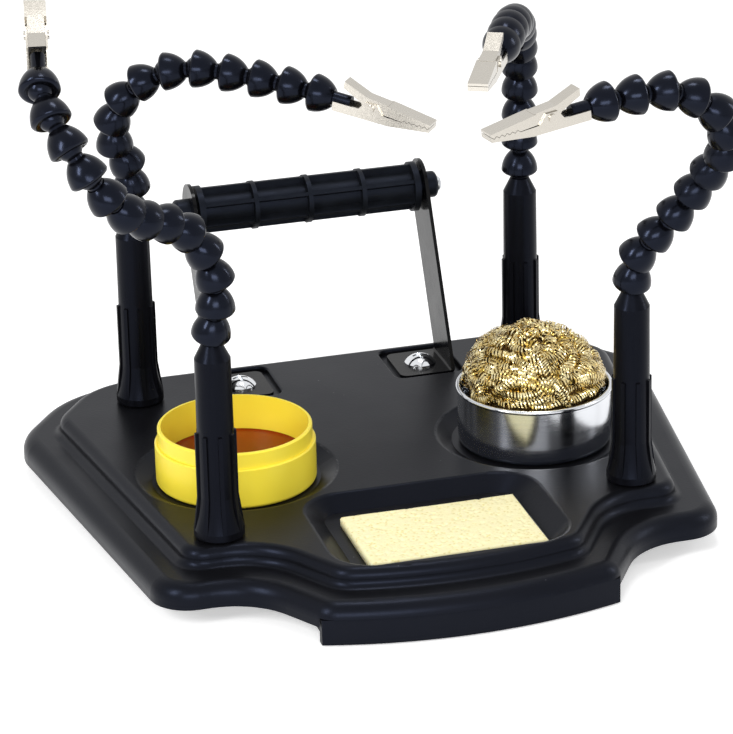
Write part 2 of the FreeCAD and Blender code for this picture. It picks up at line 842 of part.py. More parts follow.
# ---------------------------------------------------------------- drawer
ARC_CENTRE = "(%s - apron_reach - apron_bow)" % APRON_RADIUS
FACE_RADIUS = "(%s - drawer_setback)" % APRON_RADIUS
BACK_RADIUS = "(%s - drawer_setback - drawer_front_thick)" % APRON_RADIUS
FACE_END = "(%s - sqrt(%s^2 - drawer_half^2))" % (ARC_CENTRE, FACE_RADIUS)
BACK_END = "(%s - sqrt(%s^2 - drawer_half^2))" % (ARC_CENTRE, BACK_RADIUS)
front_plan = plan(
    "drawer_front_plan",
    [
        ("-drawer_half", FACE_END, FACE_RADIUS),
        ("drawer_half", FACE_END),
        ("drawer_half", BACK_END, "-" + BACK_RADIUS),
        ("-drawer_half", BACK_END),
    ],
)
drawer_front = extruded("drawer_front", front_plan, "drawer_bottom", DRAWER_TOP)
drawer_tray = box(
    "drawer_tray",
    "-" + DRAWER_SIDE,
    DRAWER_SIDE,
    BACK_END + " - drawer_wall",
    "-drawer_back",
    "drawer_bottom",
    DRAWER_TOP,
)
LIP_LOW = "(%s + drawer_lip_gap)" % PLATE_HIGH
drawer_lips = box(
    "drawer_lips",
    "-%s - drawer_lip" % DRAWER_SIDE,
    DRAWER_SIDE + " + drawer_lip",
    "-drawer_back - drawer_lip_length",
    "-drawer_back",
    LIP_LOW,
    LIP_LOW + " + drawer_lip_thick",
)
drawer_inside = box(
    "drawer_inside",
    "-%s + drawer_wall" % DRAWER_SIDE,
    DRAWER_SIDE + " - drawer_wall",
    BACK_END,
    "-drawer_back - drawer_wall",
    "drawer_bottom + drawer_wall",
    DRAWER_TOP + " + overshoot",
)
drawer_block = joined("drawer_block", [drawer_front, drawer_tray, drawer_lips])
node("drawer", cut("drawer", drawer_block, drawer_inside))

# ---------------------------------------------------------------- arm posts
BALL_RISE = "(post_height + post_cone + 2 * post_lip + sqrt(ball_radius^2 - waist_radius^2))"


def ball_points(centre):
    """The waist and the ball at the top of a post or a link, as outline points up to the axis."""
    return [
        ("waist_radius", centre + " - sqrt(ball_radius^2 - waist_radius^2)", "ball_radius"),
        ("sqrt(ball_radius^2 - ball_top^2)", centre + " + ball_top"),
        ("0", centre + " + ball_top"),
    ]


def arm_post(name):
    """Ribbed post: turned body with a ball on top, and ribs that flare out over its foot."""
    post = turned(
        name,
        [
            ("post_screw_radius + screw_gap", "-shell_wall"),
            ("post_spigot", "-shell_wall"),
            ("post_spigot", "0"),
            ("post_foot_radius - post_foot_undercut", "0"),
            ("post_foot_radius", "post_foot_undercut"),
            ("post_foot_radius", "post_foot_height", "-post_flare_radius"),
            ("post_radius + post_taper", "post_flare_height"),
            ("post_radius", "post_height"),
            ("post_neck", "post_height + post_cone"),
            ("waist_radius", "post_height + post_cone + post_lip"),
        ]
        + ball_points(BALL_RISE)
        + [
            ("0", "post_screw_length + overshoot"),
            ("post_screw_radius + screw_gap", "post_screw_length"),
        ],
    )
    rib_side = drawn(
        post,
        name + "_rib_side",
        "XZ_Plane",
        [
            ("post_radius - rib_root", "post_foot_height"),
            ("post_foot_radius", "post_foot_height"),
            ("post_radius + post_taper + rib_rise", "post_flare_height"),
            ("post_radius + post_taper + rib_rise", "rib_top - rib_rise"),
            ("post_radius - rib_root", "rib_top"),
        ],
    )
    rib = padded(post, name + "_rib", rib_side, "rib_width", midplane=True)
    doc.recompute()
    ribs = post.newObject("PartDesign::PolarPattern", name + "_ribs")
    ribs.Originals = [rib]
    ribs.Axis = (rib_side, ["V_Axis"])
    ribs.Angle = 360
    bind(ribs, Occurrences="rib_count")
    post.Tip = ribs
    doc.recompute()
    return post


for name, (across, back) in POSTS.items():
    place(node(name + "_post", arm_post(name + "_post")), across, back, DECK_TOP)

post_screw = turned(
    "post_screw",
    [
        ("0", "-post_screw_head_height"),
        ("post_screw_head - screw_edge", "-post_screw_head_height"),
        ("post_screw_head", "-post_screw_head_height + screw_edge"),
        ("post_screw_head", "0"),
        ("post_screw_radius", "0"),
        ("post_screw_radius", "post_screw_length - post_screw_radius"),
        ("0", "post_screw_length"),
    ],
)
screws = [moved(post_screw.Shape, at(across, back, DECK_UNDER)) for across, back in POSTS.values()]
node("post_screws", grouped("post_screws", screws))

# ---------------------------------------------------------------- arm links
SOCKET_POINTS = [
    ("0", "ball_radius + ball_gap", "-(ball_radius + ball_gap)"),
    ("sqrt((ball_radius + ball_gap)^2 - socket_mouth^2)", "-socket_mouth"),
    ("mouth_lip", "-socket_mouth - mouth_drop", "bell_rim_round"),
    ("bell_radius", "-bell_rim", "dome_radius"),
]
link = turned(
    "link",
    SOCKET_POINTS
    + [
        ("bell_top_radius", "bell_top - bell_edge"),
        ("bell_top_radius - bell_edge", "bell_top"),
        ("waist_radius", "bell_top"),
    ]
    + ball_points("link_pitch"),
)
clip_socket = turned(
    "clip_socket",
    SOCKET_POINTS
    + [
        ("ferrule_neck + bell_edge", "bell_top - bell_edge"),
        ("ferrule_neck", "bell_top"),
        ("ferrule_radius", "bell_top"),
        ("ferrule_radius", "ferrule_end"),
        ("0", "ferrule_end"),
    ],
)

# ---------------------------------------------------------------- clips
TEETH = 6
RISE = "clip_pivot_rise"


def tooth_points(lift):
    """Saw teeth along a jaw's edge, from the nose towards the pivot."""
    points = []
    for index in range(TEETH):
        start = "clip_length - %d * clip_tooth" % index
        points.append(("clip_tooth_depth / 2 + %s" % lift, start))
        points.append(("-clip_tooth_depth / 2 + %s" % lift, start + " - clip_tooth / 2"))
    return points


lower_jaw = doc.addObject("PartDesign::Body", "lower_jaw")
lower_side = drawn(
    lower_jaw,
    "lower_side",
    "XZ_Plane",
    [
        ("-clip_depth", "clip_start"),
        ("0", "clip_start"),
        ("0", "clip_pivot - ear_rear"),
        ("clip_pivot_rise + ear_rise", "clip_pivot - ear_half"),
        ("clip_pivot_rise + ear_rise", "clip_pivot + ear_half"),
        ("-clip_side_gap", "clip_pivot + ear_front"),
    ]
    + list(reversed(tooth_points("0")))
    + [
        ("-clip_nose", "clip_length"),
        ("-clip_depth", "clip_pivot + jaw_shoulder"),
    ],
)
padded(lower_jaw, "lower_block", lower_side, "clip_width", midplane=True)
lower_trough = drawn(
    lower_jaw,
    "lower_trough",
    "XZ_Plane",
    [
        ("-clip_depth + clip_sheet", "clip_start - overshoot"),
        ("clip_pivot_rise + ear_rise + overshoot", "clip_start - overshoot"),
        ("clip_pivot_rise + ear_rise + overshoot", "clip_length - clip_sheet"),
        ("-clip_nose + clip_sheet", "clip_length - clip_sheet"),
        ("-clip_depth + clip_sheet", "clip_pivot + jaw_shoulder - clip_sheet"),
    ],
)
pocketed(lower_jaw, "lower_channel", lower_trough, "clip_width - 2 * clip_sheet", midplane=True)
RIVET_HOLE = "rivet_radius + rivet_gap"
lower_eye = ringed(lower_jaw, "lower_eye", "XZ_Plane", RISE, "clip_pivot", RIVET_HOLE)
pocketed(lower_jaw, "lower_eyes", lower_eye, "2 * clip_width", midplane=True)

INNER_WIDTH = "(clip_width - 2 * clip_sheet - 2 * clip_side_gap)"
upper_jaw = doc.addObject("PartDesign::Body", "upper_jaw")
upper_front = drawn(
    upper_jaw,
    "upper_front",
    "XZ_Plane",
    [
        ("clip_pivot_rise + nose_rise", "clip_pivot + nose_rear"),
        ("jaw_gap", "clip_pivot + nose_rear"),
    ]
    + list(reversed(tooth_points("clip_tooth_gap")))
    + [
        ("clip_nose + clip_tooth_gap", "clip_length"),
        ("clip_pivot_rise + nose_rise - clip_tooth_depth / 2", "clip_pivot + nose_slope"),
    ],
)
padded(upper_jaw, "upper_nose", upper_front, "clip_width", midplane=True)
upper_rear = drawn(
    upper_jaw,
    "upper_rear",
    "XZ_Plane",
    [
        ("clip_pivot_rise + lever_rise", "clip_pivot - lever_reach"),
        ("clip_pivot_rise + lever_rise - lever_wall", "clip_pivot - lever_reach"),
        ("clip_pivot_rise + lever_hump - lever_wall", "clip_pivot - lever_rear"),
        ("clip_pivot_rise - lever_ear", "clip_pivot - ear_half"),
        ("clip_pivot_rise - lever_ear", "clip_pivot + ear_half"),
        ("jaw_gap", "clip_pivot + lever_front"),
        ("clip_pivot_rise + nose_rise", "clip_pivot + lever_front"),
        ("clip_pivot_rise + lever_hump", "clip_pivot - ear_half"),
    ],
)
padded(upper_jaw, "upper_lever", upper_rear, INNER_WIDTH, midplane=True)
upper_trough = drawn(
    upper_jaw,
    "upper_trough",
    "XZ_Plane",
    [
        ("clip_pivot_rise + lever_rise - clip_sheet", "clip_pivot - lever_reach - overshoot"),
        ("-clip_depth", "clip_pivot - lever_reach - overshoot"),
        ("-clip_depth", "clip_length - clip_sheet"),
        ("clip_nose + clip_tooth_gap - clip_sheet", "clip_length - clip_sheet"),
        ("clip_pivot_rise + nose_rise - clip_sheet", "clip_pivot + lever_front"),
        ("clip_pivot_rise + lever_hump - clip_sheet", "clip_pivot - ear_half"),
    ],
)
pocketed(upper_jaw, "upper_channel", upper_trough, INNER_WIDTH + " - 2 * clip_sheet", midplane=True)
upper_eye = ringed(upper_jaw, "upper_eye", "XZ_Plane", RISE, "clip_pivot", RIVET_HOLE)
pocketed(upper_jaw, "upper_eyes", upper_eye, "2 * clip_width", midplane=True)

rivet = turned(
    "rivet",
    [
        ("0", "-clip_width / 2 - rivet_head_thick"),
        ("rivet_head", "-clip_width / 2 - rivet_head_thick"),
        ("rivet_head", "-clip_width / 2"),
        ("rivet_radius", "-clip_width / 2"),
        ("rivet_radius", "clip_width / 2"),
        ("rivet_head", "clip_width / 2"),
        ("rivet_head", "clip_width / 2 + rivet_head_thick"),
        ("0", "clip_width / 2 + rivet_head_thick"),
    ],
)
rivet.Placement = FreeCAD.Placement(
    FreeCAD.Vector(size(RISE), 0, size("clip_pivot")),
    FreeCAD.Rotation(FreeCAD.Vector(1, 0, 0), 90),
)
doc.recompute()


def biarc(start, start_way, end, end_way):
    """Two arcs that join two points and leave and meet them along the given ways."""
    chord = end - start
    both = start_way + end_way
    spread = 2 * (1 - start_way.dot(end_way))
    reach = chord.dot(both)
    step = (math.sqrt(reach**2 + spread * chord.dot(chord)) - reach) / spread
    middle = (start + end + (start_way - end_way) * step) / 2
    arcs = []
    for first, way, last, sense in ((start, start_way, middle, 1), (end, end_way, middle, -1)):
        across = last - first
        normal = way.cross(across)
        side = normal.cross(way)
        side.normalize()
        radius = across.dot(across) / (2 * across.dot(side))
        centre = first + side * radius
        half = first + across / 2 - centre
        half.normalize()
        crown = centre + half * radius
        ends = (first, crown, last) if sense == 1 else (last, crown, first)
        arcs.append(Part.Arc(*ends).toShape())
    return arcs


def torsion_spring():
    """Clip spring: coils round the rivet, with a leg on each jaw, as one tube along arcs and lines."""
    radius, pitch = size("spring_radius"), size("spring_pitch")
    centre = FreeCAD.Vector(size(RISE), 0, size("clip_pivot"))
    first = math.radians(size("spring_first"))
    last = math.radians(size("spring_last")) + 2 * math.pi * size("spring_turns")
    steps = 14
    step = (last - first) / steps
    middle = (first + last) / 2
    climb = pitch / (2 * math.pi)

    def spot(angle):
        round_rivet = FreeCAD.Vector(radius * math.cos(angle), 0, radius * math.sin(angle))
        return centre + round_rivet + FreeCAD.Vector(0, climb * (angle - middle), 0)

    def level_way(angle):
        return FreeCAD.Vector(-math.sin(angle), 0, math.cos(angle))

    def way(angle):
        heading = level_way(angle) * radius + FreeCAD.Vector(0, climb, 0)
        heading.normalize()
        return heading

    ease = size("spring_ease")
    drift = FreeCAD.Vector(0, climb / radius * ease / 2, 0)
    leg = size("spring_leg")
    joint = spot(first) - level_way(first) * ease - drift
    start = joint - level_way(first) * leg
    edges = [Part.LineSegment(start, joint).toShape()]
    edges.extend(biarc(joint, level_way(first), spot(first), way(first)))
    for index in range(steps):
        low = first + index * step
        edges.extend(biarc(spot(low), way(low), spot(low + step), way(low + step)))
    joint = spot(last) + level_way(last) * ease + drift
    edges.extend(biarc(spot(last), way(last), joint, level_way(last)))
    edges.append(Part.LineSegment(joint, joint + level_way(last) * leg).toShape())
    ring = Part.Wire(Part.Circle(start, level_way(first), size("spring_wire")).toShape())
    tube = Part.Wire(edges).makePipeShell([ring], True, False)
    print("clip spring: gap between coils %.2f mm" % (pitch - 2 * size("spring_wire")))
    return tube


spring = doc.addObject("Part::Feature", "spring")
spring.Shape = torsion_spring()

# ---------------------------------------------------------------- arms: links and clips in their rest pose


def heading_vector(heading, tilt):
    """Unit vector of a link from its heading and its tilt from upright."""
    turn, lean = math.radians(heading), math.radians(tilt)
    level = math.sin(lean)
    return FreeCAD.Vector(level * math.cos(turn), level * math.sin(turn), math.cos(lean))


def along(spot, way):
    """Placement that stands a piece on a spot with its Z axis along the way."""
    return FreeCAD.Placement(spot, FreeCAD.Rotation(FreeCAD.Vector(0, 0, 1), way))


for name, pose in ARMS.items():
    across, back = POSTS[name]
    spot = FreeCAD.Vector(size(across), size(back), size(DECK_TOP + " + " + BALL_RISE))
    link_shapes = []
    for heading, tilt in pose[:-1]:
        way = heading_vector(heading, tilt)
        link_shapes.append(moved(link.Shape, along(spot, way)))
        spot = spot + way * size("link_pitch")
    for index, count in enumerate(LINK_GROUPS, start=1):
        label = "%s_links_%d" % (name, index)
        node(label, grouped(label, link_shapes[:count]))
        link_shapes = link_shapes[count:]
    way = heading_vector(*pose[-1])
    opening = FreeCAD.Vector(0, 0, 1) - way * way.z
    clip_place = FreeCAD.Placement(spot, FreeCAD.Rotation(opening, way.cross(opening), way, "ZXY"))
    node(name + "_clip_socket", copied(name + "_clip_socket", clip_socket.Shape, clip_place))
    jaw_shapes = [moved(shape, clip_place) for shape in (lower_jaw.Shape, rivet.Shape)]
    node(name + "_clip_lower_jaw", grouped(name + "_clip_lower_jaw", jaw_shapes))
    node(name + "_clip_upper_jaw", copied(name + "_clip_upper_jaw", upper_jaw.Shape, clip_place))
    node(name + "_clip_spring", copied(name + "_clip_spring", spring.Shape, clip_place))

# ---------------------------------------------------------------- spool roller and axle
ALONG_X = FreeCAD.Rotation(FreeCAD.Vector(0, 1, 0), 90)


def on_axle(shape, shift):
    """Copy of a piece turned about Z, laid along the axle at a distance to the right."""
    spot = FreeCAD.Vector(size(shift), size(AXLE_REACH), size("axle_height"))
    return moved(shape, FreeCAD.Placement(spot, ALONG_X))


roller_profile = [("axle_radius + axle_gap", "-2 * roller_pitch - roller_flange_thick / 2")]
for index in range(-2, 3):
    kind = "roller_flange" if abs(index) == 2 else "roller_rib"
    low = "%d * roller_pitch - %s_thick / 2" % (index, kind)
    high = "%d * roller_pitch + %s_thick / 2" % (index, kind)
    if index > -2:
        roller_profile.append(("roller_core", low))
    roller_profile.append((kind, low))
    roller_profile.append((kind, high))
    if index < 2:
        roller_profile.append(("roller_core", high))
roller_profile.append(("axle_radius + axle_gap", "2 * roller_pitch + roller_flange_thick / 2"))
roller = turned("roller", roller_profile)
fin_outline = drawn(
    roller,
    "fin_outline",
    "XY_Plane",
    [
        ("roller_core - roller_fin_root", "-roller_fin_thick / 2"),
        ("roller_fin", "-roller_fin_thick / 2"),
        ("roller_fin", "roller_fin_thick / 2"),
        ("roller_core - roller_fin_root", "roller_fin_thick / 2"),
    ],
)
fin = padded(roller, "fin", fin_outline, "4 * roller_pitch", midplane=True)
doc.recompute()
fins = roller.newObject("PartDesign::PolarPattern", "fins")
fins.Originals = [fin]
fins.Axis = (fin_outline, ["N_Axis"])
fins.Angle = 360
bind(fins, Occurrences="roller_fin_count")
roller.Tip = fins
doc.recompute()
node("spool_roller", grouped("spool_roller", [on_axle(roller.Shape, "0")]))

AXLE_HALF = "(%s + axle_nut_length + axle_stub)" % BRACKET_HALF
axle = turned(
    "axle",
    [
        ("0", "-" + AXLE_HALF),
        ("axle_radius - axle_edge", "-" + AXLE_HALF),
        ("axle_radius", "-%s + axle_edge" % AXLE_HALF),
        ("axle_radius", "%s - axle_edge" % AXLE_HALF),
        ("axle_radius - axle_edge", AXLE_HALF),
        ("0", AXLE_HALF),
    ],
)
node("roller_axle", grouped("roller_axle", [on_axle(axle.Shape, "0")]))

axle_nut = turned(
    "axle_nut",
    [
        ("axle_radius + axle_gap", "0"),
        ("axle_nut_radius", "0"),
        ("axle_nut_radius", "axle_nut_length - axle_nut_round", "axle_nut_round"),
        ("axle_nut_radius - axle_nut_round", "axle_nut_length"),
        ("axle_radius + axle_gap", "axle_nut_length"),
    ],
)
flipped = axle_nut.Shape.mirror(FreeCAD.Vector(0, 0, 0), FreeCAD.Vector(0, 0, 1))
nuts = [on_axle(axle_nut.Shape, BRACKET_HALF), on_axle(flipped, "-" + BRACKET_HALF)]
node("axle_nuts", grouped("axle_nuts", nuts))

washer = turned(
    "washer",
    [
        ("axle_radius + axle_gap", "-washer_thick / 2"),
        ("washer_radius", "-washer_thick / 2"),
        ("washer_radius", "washer_thick / 2"),
        ("axle_radius + axle_gap", "washer_thick / 2"),
    ],
)
WASHER_PLACE = "(%s - bracket_sheet - washer_thick / 2)" % BRACKET_HALF
washers = [on_axle(washer.Shape, WASHER_PLACE), on_axle(washer.Shape, "-" + WASHER_PLACE)]
node("axle_washers", grouped("axle_washers", washers))

# ---------------------------------------------------------------- brackets, their screws and nuts
bent_sheet = doc.addObject("PartDesign::Body", "bent_sheet")
bent_outline = drawn(
    bent_sheet,
    "bent_outline",
    "XZ_Plane",
    [
        (BRACKET_HALF + " - bracket_foot", FOOT_FLOOR),
        (BRACKET_HALF + " - bracket_sheet - bracket_bend", FOOT_FLOOR, "bracket_sheet + bracket_bend"),
        (BRACKET_HALF, FOOT_FLOOR + " + bracket_sheet + bracket_bend"),
        (BRACKET_HALF, "axle_height + bracket_width"),
        (BRACKET_HALF + " - bracket_sheet", "axle_height + bracket_width"),
        (
            BRACKET_HALF + " - bracket_sheet",
            FOOT_FLOOR + " + bracket_sheet + bracket_bend",
            "-bracket_bend",
        ),
        (BRACKET_HALF + " - bracket_sheet - bracket_bend", FOOT_FLOOR + " + bracket_sheet"),
        (BRACKET_HALF + " - bracket_foot", FOOT_FLOOR + " + bracket_sheet"),
    ],
    "-" + AXLE_REACH,
)
BENT_SPAN = "2 * (%s - %s + bracket_width)" % (AXLE_REACH, FOOT_FRONT)
padded(bent_sheet, "bent_pad", bent_outline, BENT_SPAN, midplane=True)
HEAD_LEVEL = "bracket_width / 2 * cos(bracket_lean)"
HEAD_RISE = "bracket_width / 2 * sin(bracket_lean)"
side_view = doc.addObject("PartDesign::Body", "side_view")
side_outline = drawn(
    side_view,
    "side_outline",
    "YZ_Plane",
    [
        (FOOT_FRONT, FOOT_FLOOR),
        (FOOT_BACK, FOOT_FLOOR),
        (FOOT_BACK, FOOT_FLOOR + " + bracket_sheet"),
        (AXLE_REACH + " + " + HEAD_LEVEL, "axle_height - " + HEAD_RISE, "bracket_width / 2"),
        (AXLE_REACH + " + " + HEAD_RISE, "axle_height + " + HEAD_LEVEL, "bracket_width / 2"),
        (AXLE_REACH + " - " + HEAD_LEVEL, "axle_height + " + HEAD_RISE),
        (FOOT_FRONT, FOOT_FLOOR + " + bracket_sheet"),
    ],
)
padded(side_view, "side_pad", side_outline, BRACKET_HALF + " + overshoot")
doc.recompute()
strip = doc.addObject("Part::MultiCommon", "bracket_strip")
strip.Shapes = [bent_sheet, side_view]
axle_drill = doc.addObject("Part::Cylinder", "axle_drill")
bind(axle_drill, Radius="axle_radius + axle_gap", Height="bracket_foot * 2")
axle_drill.Placement = FreeCAD.Placement(FreeCAD.Vector(), FreeCAD.Rotation(FreeCAD.Vector(0, 1, 0), 90))
place(axle_drill, BRACKET_HALF + " - bracket_foot", AXLE_REACH, "axle_height")
hole = "bracket_screw_radius + screw_gap"
screw_drill = cylinder("screw_drill", hole, SCREW_SIDE, FOOT_MIDDLE, "0", OVER_DECK)
drilled = cut("drilled_bracket", strip, joined("bracket_drills", [axle_drill, screw_drill]))
foot_corners = []
for number, edge in enumerate(drilled.Shape.Edges, start=1):
    spot = edge.BoundBox
    inner = abs(spot.XMax - size(BRACKET_HALF + " - bracket_foot")) < 1e-4
    if inner and spot.XLength < 1e-4 and spot.YLength < 1e-4:
        foot_corners.append((number, size("bracket_foot_corner")))
right_bracket = node("right_bracket", filleted("right_bracket", drilled, foot_corners))
left_bracket = doc.addObject("Part::Mirroring", "left_bracket")
left_bracket.Source = right_bracket
left_bracket.Normal = FreeCAD.Vector(1, 0, 0)
doc.recompute()
node("left_bracket", left_bracket)

STACK = "(bracket_sheet + shell_wall)"
SCREW_DOME_RADIUS = "(bracket_screw_head^2 + bracket_screw_dome^2) / (2 * bracket_screw_dome)"
CROSS_POINTS = [
    ("-cross_half", "-cross_width / 2"),
    ("cross_half", "-cross_width / 2"),
    ("cross_half", "cross_width / 2"),
    ("-cross_half", "cross_width / 2"),
]
bracket_screw = turned(
    "bracket_screw",
    [
        ("0", "-%s - bracket_nut_height - screw_edge" % STACK),
        ("bracket_screw_radius - screw_edge / 2", "-%s - bracket_nut_height - screw_edge" % STACK),
        ("bracket_screw_radius", "-%s - bracket_nut_height - screw_edge / 2" % STACK),
        ("bracket_screw_radius", "0"),
        ("bracket_screw_head", "0"),
        ("bracket_screw_head", "bracket_screw_rim", SCREW_DOME_RADIUS),
        ("0", "bracket_screw_rim + bracket_screw_dome"),
    ],
)
for turn in (0, 90):
    floor = "bracket_screw_rim + bracket_screw_dome - cross_depth"
    blade = drawn(bracket_screw, "blade_%d" % turn, "XY_Plane", CROSS_POINTS, floor)
    blade.AttachmentOffset = FreeCAD.Placement(
        blade.AttachmentOffset.Base, FreeCAD.Rotation(FreeCAD.Vector(0, 0, 1), turn)
    )
    pocketed(bracket_screw, "slot_%d" % turn, blade, "bracket_screw_dome", reverse=True)
nut_points = []
for index in range(6):
    angle = 60 * index + 30
    across = "bracket_nut_flats / sqrt(3) * cos(%d)" % angle
    nut_points.append((across, "bracket_nut_flats / sqrt(3) * sin(%d)" % angle))
bracket_nut = doc.addObject("PartDesign::Body", "bracket_nut")
nut_outline = drawn(bracket_nut, "nut_outline", "XY_Plane", nut_points)
padded(bracket_nut, "nut_block", nut_outline, "bracket_nut_height")
doc.recompute()
nut_eye = ringed(bracket_nut, "nut_eye", "XY_Plane", "0", "0", "bracket_screw_radius + screw_gap")
pocketed(bracket_nut, "nut_hole", nut_eye, "bracket_nut_height", reverse=True)
heads, nuts = [], []
for side in ("-", "+"):
    across = side + SCREW_SIDE
    heads.append(moved(bracket_screw.Shape, at(across, FOOT_MIDDLE, FOOT_FLOOR + " + bracket_sheet")))
    under = FOOT_FLOOR + " - shell_wall - bracket_nut_height"
    nuts.append(moved(bracket_nut.Shape, at(across, FOOT_MIDDLE, under)))
node("bracket_screws", grouped("bracket_screws", heads))
node("bracket_nuts", grouped("bracket_nuts", nuts))

# ---------------------------------------------------------------- flux cup and rosin
SEAT_FLOOR = "(%s - seat_depth)" % DECK_TOP
cup = turned(
    "flux_cup",
    [
        ("0", "0"),
        ("cup_radius - cup_base_round", "0", "cup_base_round"),
        ("cup_radius", "cup_base_round"),
        ("cup_radius", "cup_height - cup_neck - cup_edge"),
        ("cup_radius - cup_edge", "cup_height - cup_neck"),
        ("cup_neck_radius", "cup_height - cup_neck"),
        ("cup_neck_radius", "cup_height - cup_edge"),
        ("cup_neck_radius - cup_edge", "cup_height"),
        ("cup_neck_radius - cup_wall", "cup_height"),
        ("cup_neck_radius - cup_wall", "cup_wall"),
        ("0", "cup_wall"),
    ],
)
place(node("flux_cup", cup), "-seat_side", "-seat_front", SEAT_FLOOR)

ROSIN_RADIUS = "(cup_neck_radius - cup_wall - rosin_gap)"
MENISCUS_RADIUS = "(rosin_meniscus^2 + rosin_creep^2) / (2 * rosin_creep)"
rosin = turned(
    "rosin",
    [
        ("0", "cup_wall"),
        (ROSIN_RADIUS, "cup_wall"),
        (ROSIN_RADIUS, "cup_height - rosin_level + rosin_creep", "-" + MENISCUS_RADIUS),
        (ROSIN_RADIUS + " - rosin_meniscus", "cup_height - rosin_level"),
        ("0", "cup_height - rosin_level"),
    ],
)
place(node("rosin", rosin), "-seat_side", "-seat_front", SEAT_FLOOR)

# ---------------------------------------------------------------- tin and brass wool
CURL_FOOT = "(tin_height - tin_rim - sqrt(tin_rim^2 - (tin_wall / 2)^2))"
tin = turned(
    "wool_tin",
    [
        ("0", "0"),
        ("tin_radius - tin_base_round", "0", "tin_base_round"),
        ("tin_radius", "tin_base_round"),
        ("tin_radius", CURL_FOOT, "tin_rim"),
        ("tin_radius - tin_wall / 2", "tin_height", "tin_rim"),
        ("tin_radius - tin_wall", CURL_FOOT),
        ("tin_radius - tin_wall", "tin_base_round", "-(tin_base_round - tin_wall)"),
        ("tin_radius - tin_base_round", "tin_wall"),
        ("0", "tin_wall"),
    ],
)
place(node("wool_tin", tin), "seat_side", "-seat_front", SEAT_FLOOR)

WOOL_RADIUS = "(tin_radius - tin_rim - wool_gap)"
WOOL_DEPTH = "(tin_height - tin_wall - wool_seat)"
BALL_RADIUS = "((%s^2 + %s^2) / (2 * %s))" % (WOOL_RADIUS, WOOL_DEPTH, WOOL_DEPTH)
wool_profile = [("0", "tin_wall + wool_seat", BALL_RADIUS)]
row_count = int(SIZES["wool_rows"])
ROW_ROUND = "wool_rise / wool_rows"
for index in range(row_count + 1):
    lean = "(wool_last_row * %d / wool_rows)" % index
    spot = ("%s * cos(%s)" % (WOOL_RADIUS, lean), "tin_height + wool_rise * sin(%s)" % lean)
    wool_profile.append(spot + (ROW_ROUND,) if index < row_count else spot)
wool_profile.append(("0", "tin_height + wool_rise"))
wool = turned("brass_wool", wool_profile)
place(node("brass_wool", wool), "seat_side", "-seat_front", SEAT_FLOOR)

# ---------------------------------------------------------------- sponge
sponge_block = box(
    "sponge_block",
    "sponge_shift - tray_half + sponge_side_room",
    "sponge_shift + tray_half - sponge_side_room",
    TRAY_FRONT + " + sponge_front_room",
    "-tray_back - sponge_back_room",
    DECK_TOP + " - tray_depth",
    DECK_TOP + " - tray_depth + sponge_thick",
)
doc.recompute()
every_edge = range(1, len(sponge_block.Shape.Edges) + 1)
node("sponge", filleted("sponge", sponge_block, [(number, size("sponge_round")) for number in every_edge]))

# ---------------------------------------------------------------- checks and files
doc.recompute()
for item in doc.Objects:
    if "Invalid" in item.State or "Error" in item.State:
        raise RuntimeError("%s failed: %s" % (item.Name, item.State))
whole = FreeCAD.BoundBox()
for item in nodes:
    if item.Shape.isNull() or not item.Shape.isValid() or not item.Shape.Solids:
        raise RuntimeError(item.Label + " is not a valid solid")
    whole.add(item.Shape.optimalBoundingBox(False, False))
origin = FreeCAD.Vector(whole.Center.x, whole.Center.y, whole.ZMin)
print("origin: %.4f %.4f %.4f" % (origin.x, origin.y, origin.z))
os.makedirs("parts", exist_ok=True)
for item in nodes:
    item.Shape.translated(-origin).exportStep("parts/%s.step" % item.Label)
print("%d nodes, %.1f x %.1f x %.1f mm" % (len(nodes), whole.XLength, whole.YLength, whole.ZLength))
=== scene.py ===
import math

import bpy
import numpy as np
from mathutils import Matrix, Vector


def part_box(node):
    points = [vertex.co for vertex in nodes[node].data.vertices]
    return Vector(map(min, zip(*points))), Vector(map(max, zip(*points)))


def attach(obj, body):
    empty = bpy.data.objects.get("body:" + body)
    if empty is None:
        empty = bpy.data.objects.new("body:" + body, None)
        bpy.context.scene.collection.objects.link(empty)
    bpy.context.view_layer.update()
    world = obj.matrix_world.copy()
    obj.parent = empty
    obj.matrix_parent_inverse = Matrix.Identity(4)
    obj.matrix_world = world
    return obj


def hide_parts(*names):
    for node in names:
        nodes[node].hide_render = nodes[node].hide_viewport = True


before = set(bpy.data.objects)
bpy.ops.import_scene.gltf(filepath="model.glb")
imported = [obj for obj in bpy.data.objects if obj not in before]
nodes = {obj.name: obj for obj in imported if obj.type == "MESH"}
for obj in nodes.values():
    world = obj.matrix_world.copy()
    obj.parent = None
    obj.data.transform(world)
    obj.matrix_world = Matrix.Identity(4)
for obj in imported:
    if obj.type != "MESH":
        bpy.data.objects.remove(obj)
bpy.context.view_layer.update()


# ---------------------------------------------------------------- base shell
# One moulding of black ABS, which carries everything else on the station. The mould leaves soft edges, a
# fine satin grain and a cloudy gloss where the plastic flowed, and dust settles on the flat deck.
def linear(colour):
    """Linear RGBA of an sRGB hex colour."""
    parts = [int(colour[i : i + 2], 16) / 255 for i in (1, 3, 5)]
    return tuple(c / 12.92 if c <= 0.04045 else ((c + 0.055) / 1.055) ** 2.4 for c in parts) + (1.0,)


def feed(tree, item, links):
    """Set a node's inputs: each takes a value, or a link from another node's output."""
    for name, value in links:
        if isinstance(value, bpy.types.NodeSocket):
            tree.links.new(value, item.inputs[name])
        else:
            item.inputs[name].default_value = value
    return item


def add(tree, kind, links=(), **settings):
    """Add a node with its settings and its links."""
    made = tree.nodes.new(kind)
    for name, value in settings.items():
        setattr(made, name, value)
    return feed(tree, made, links)


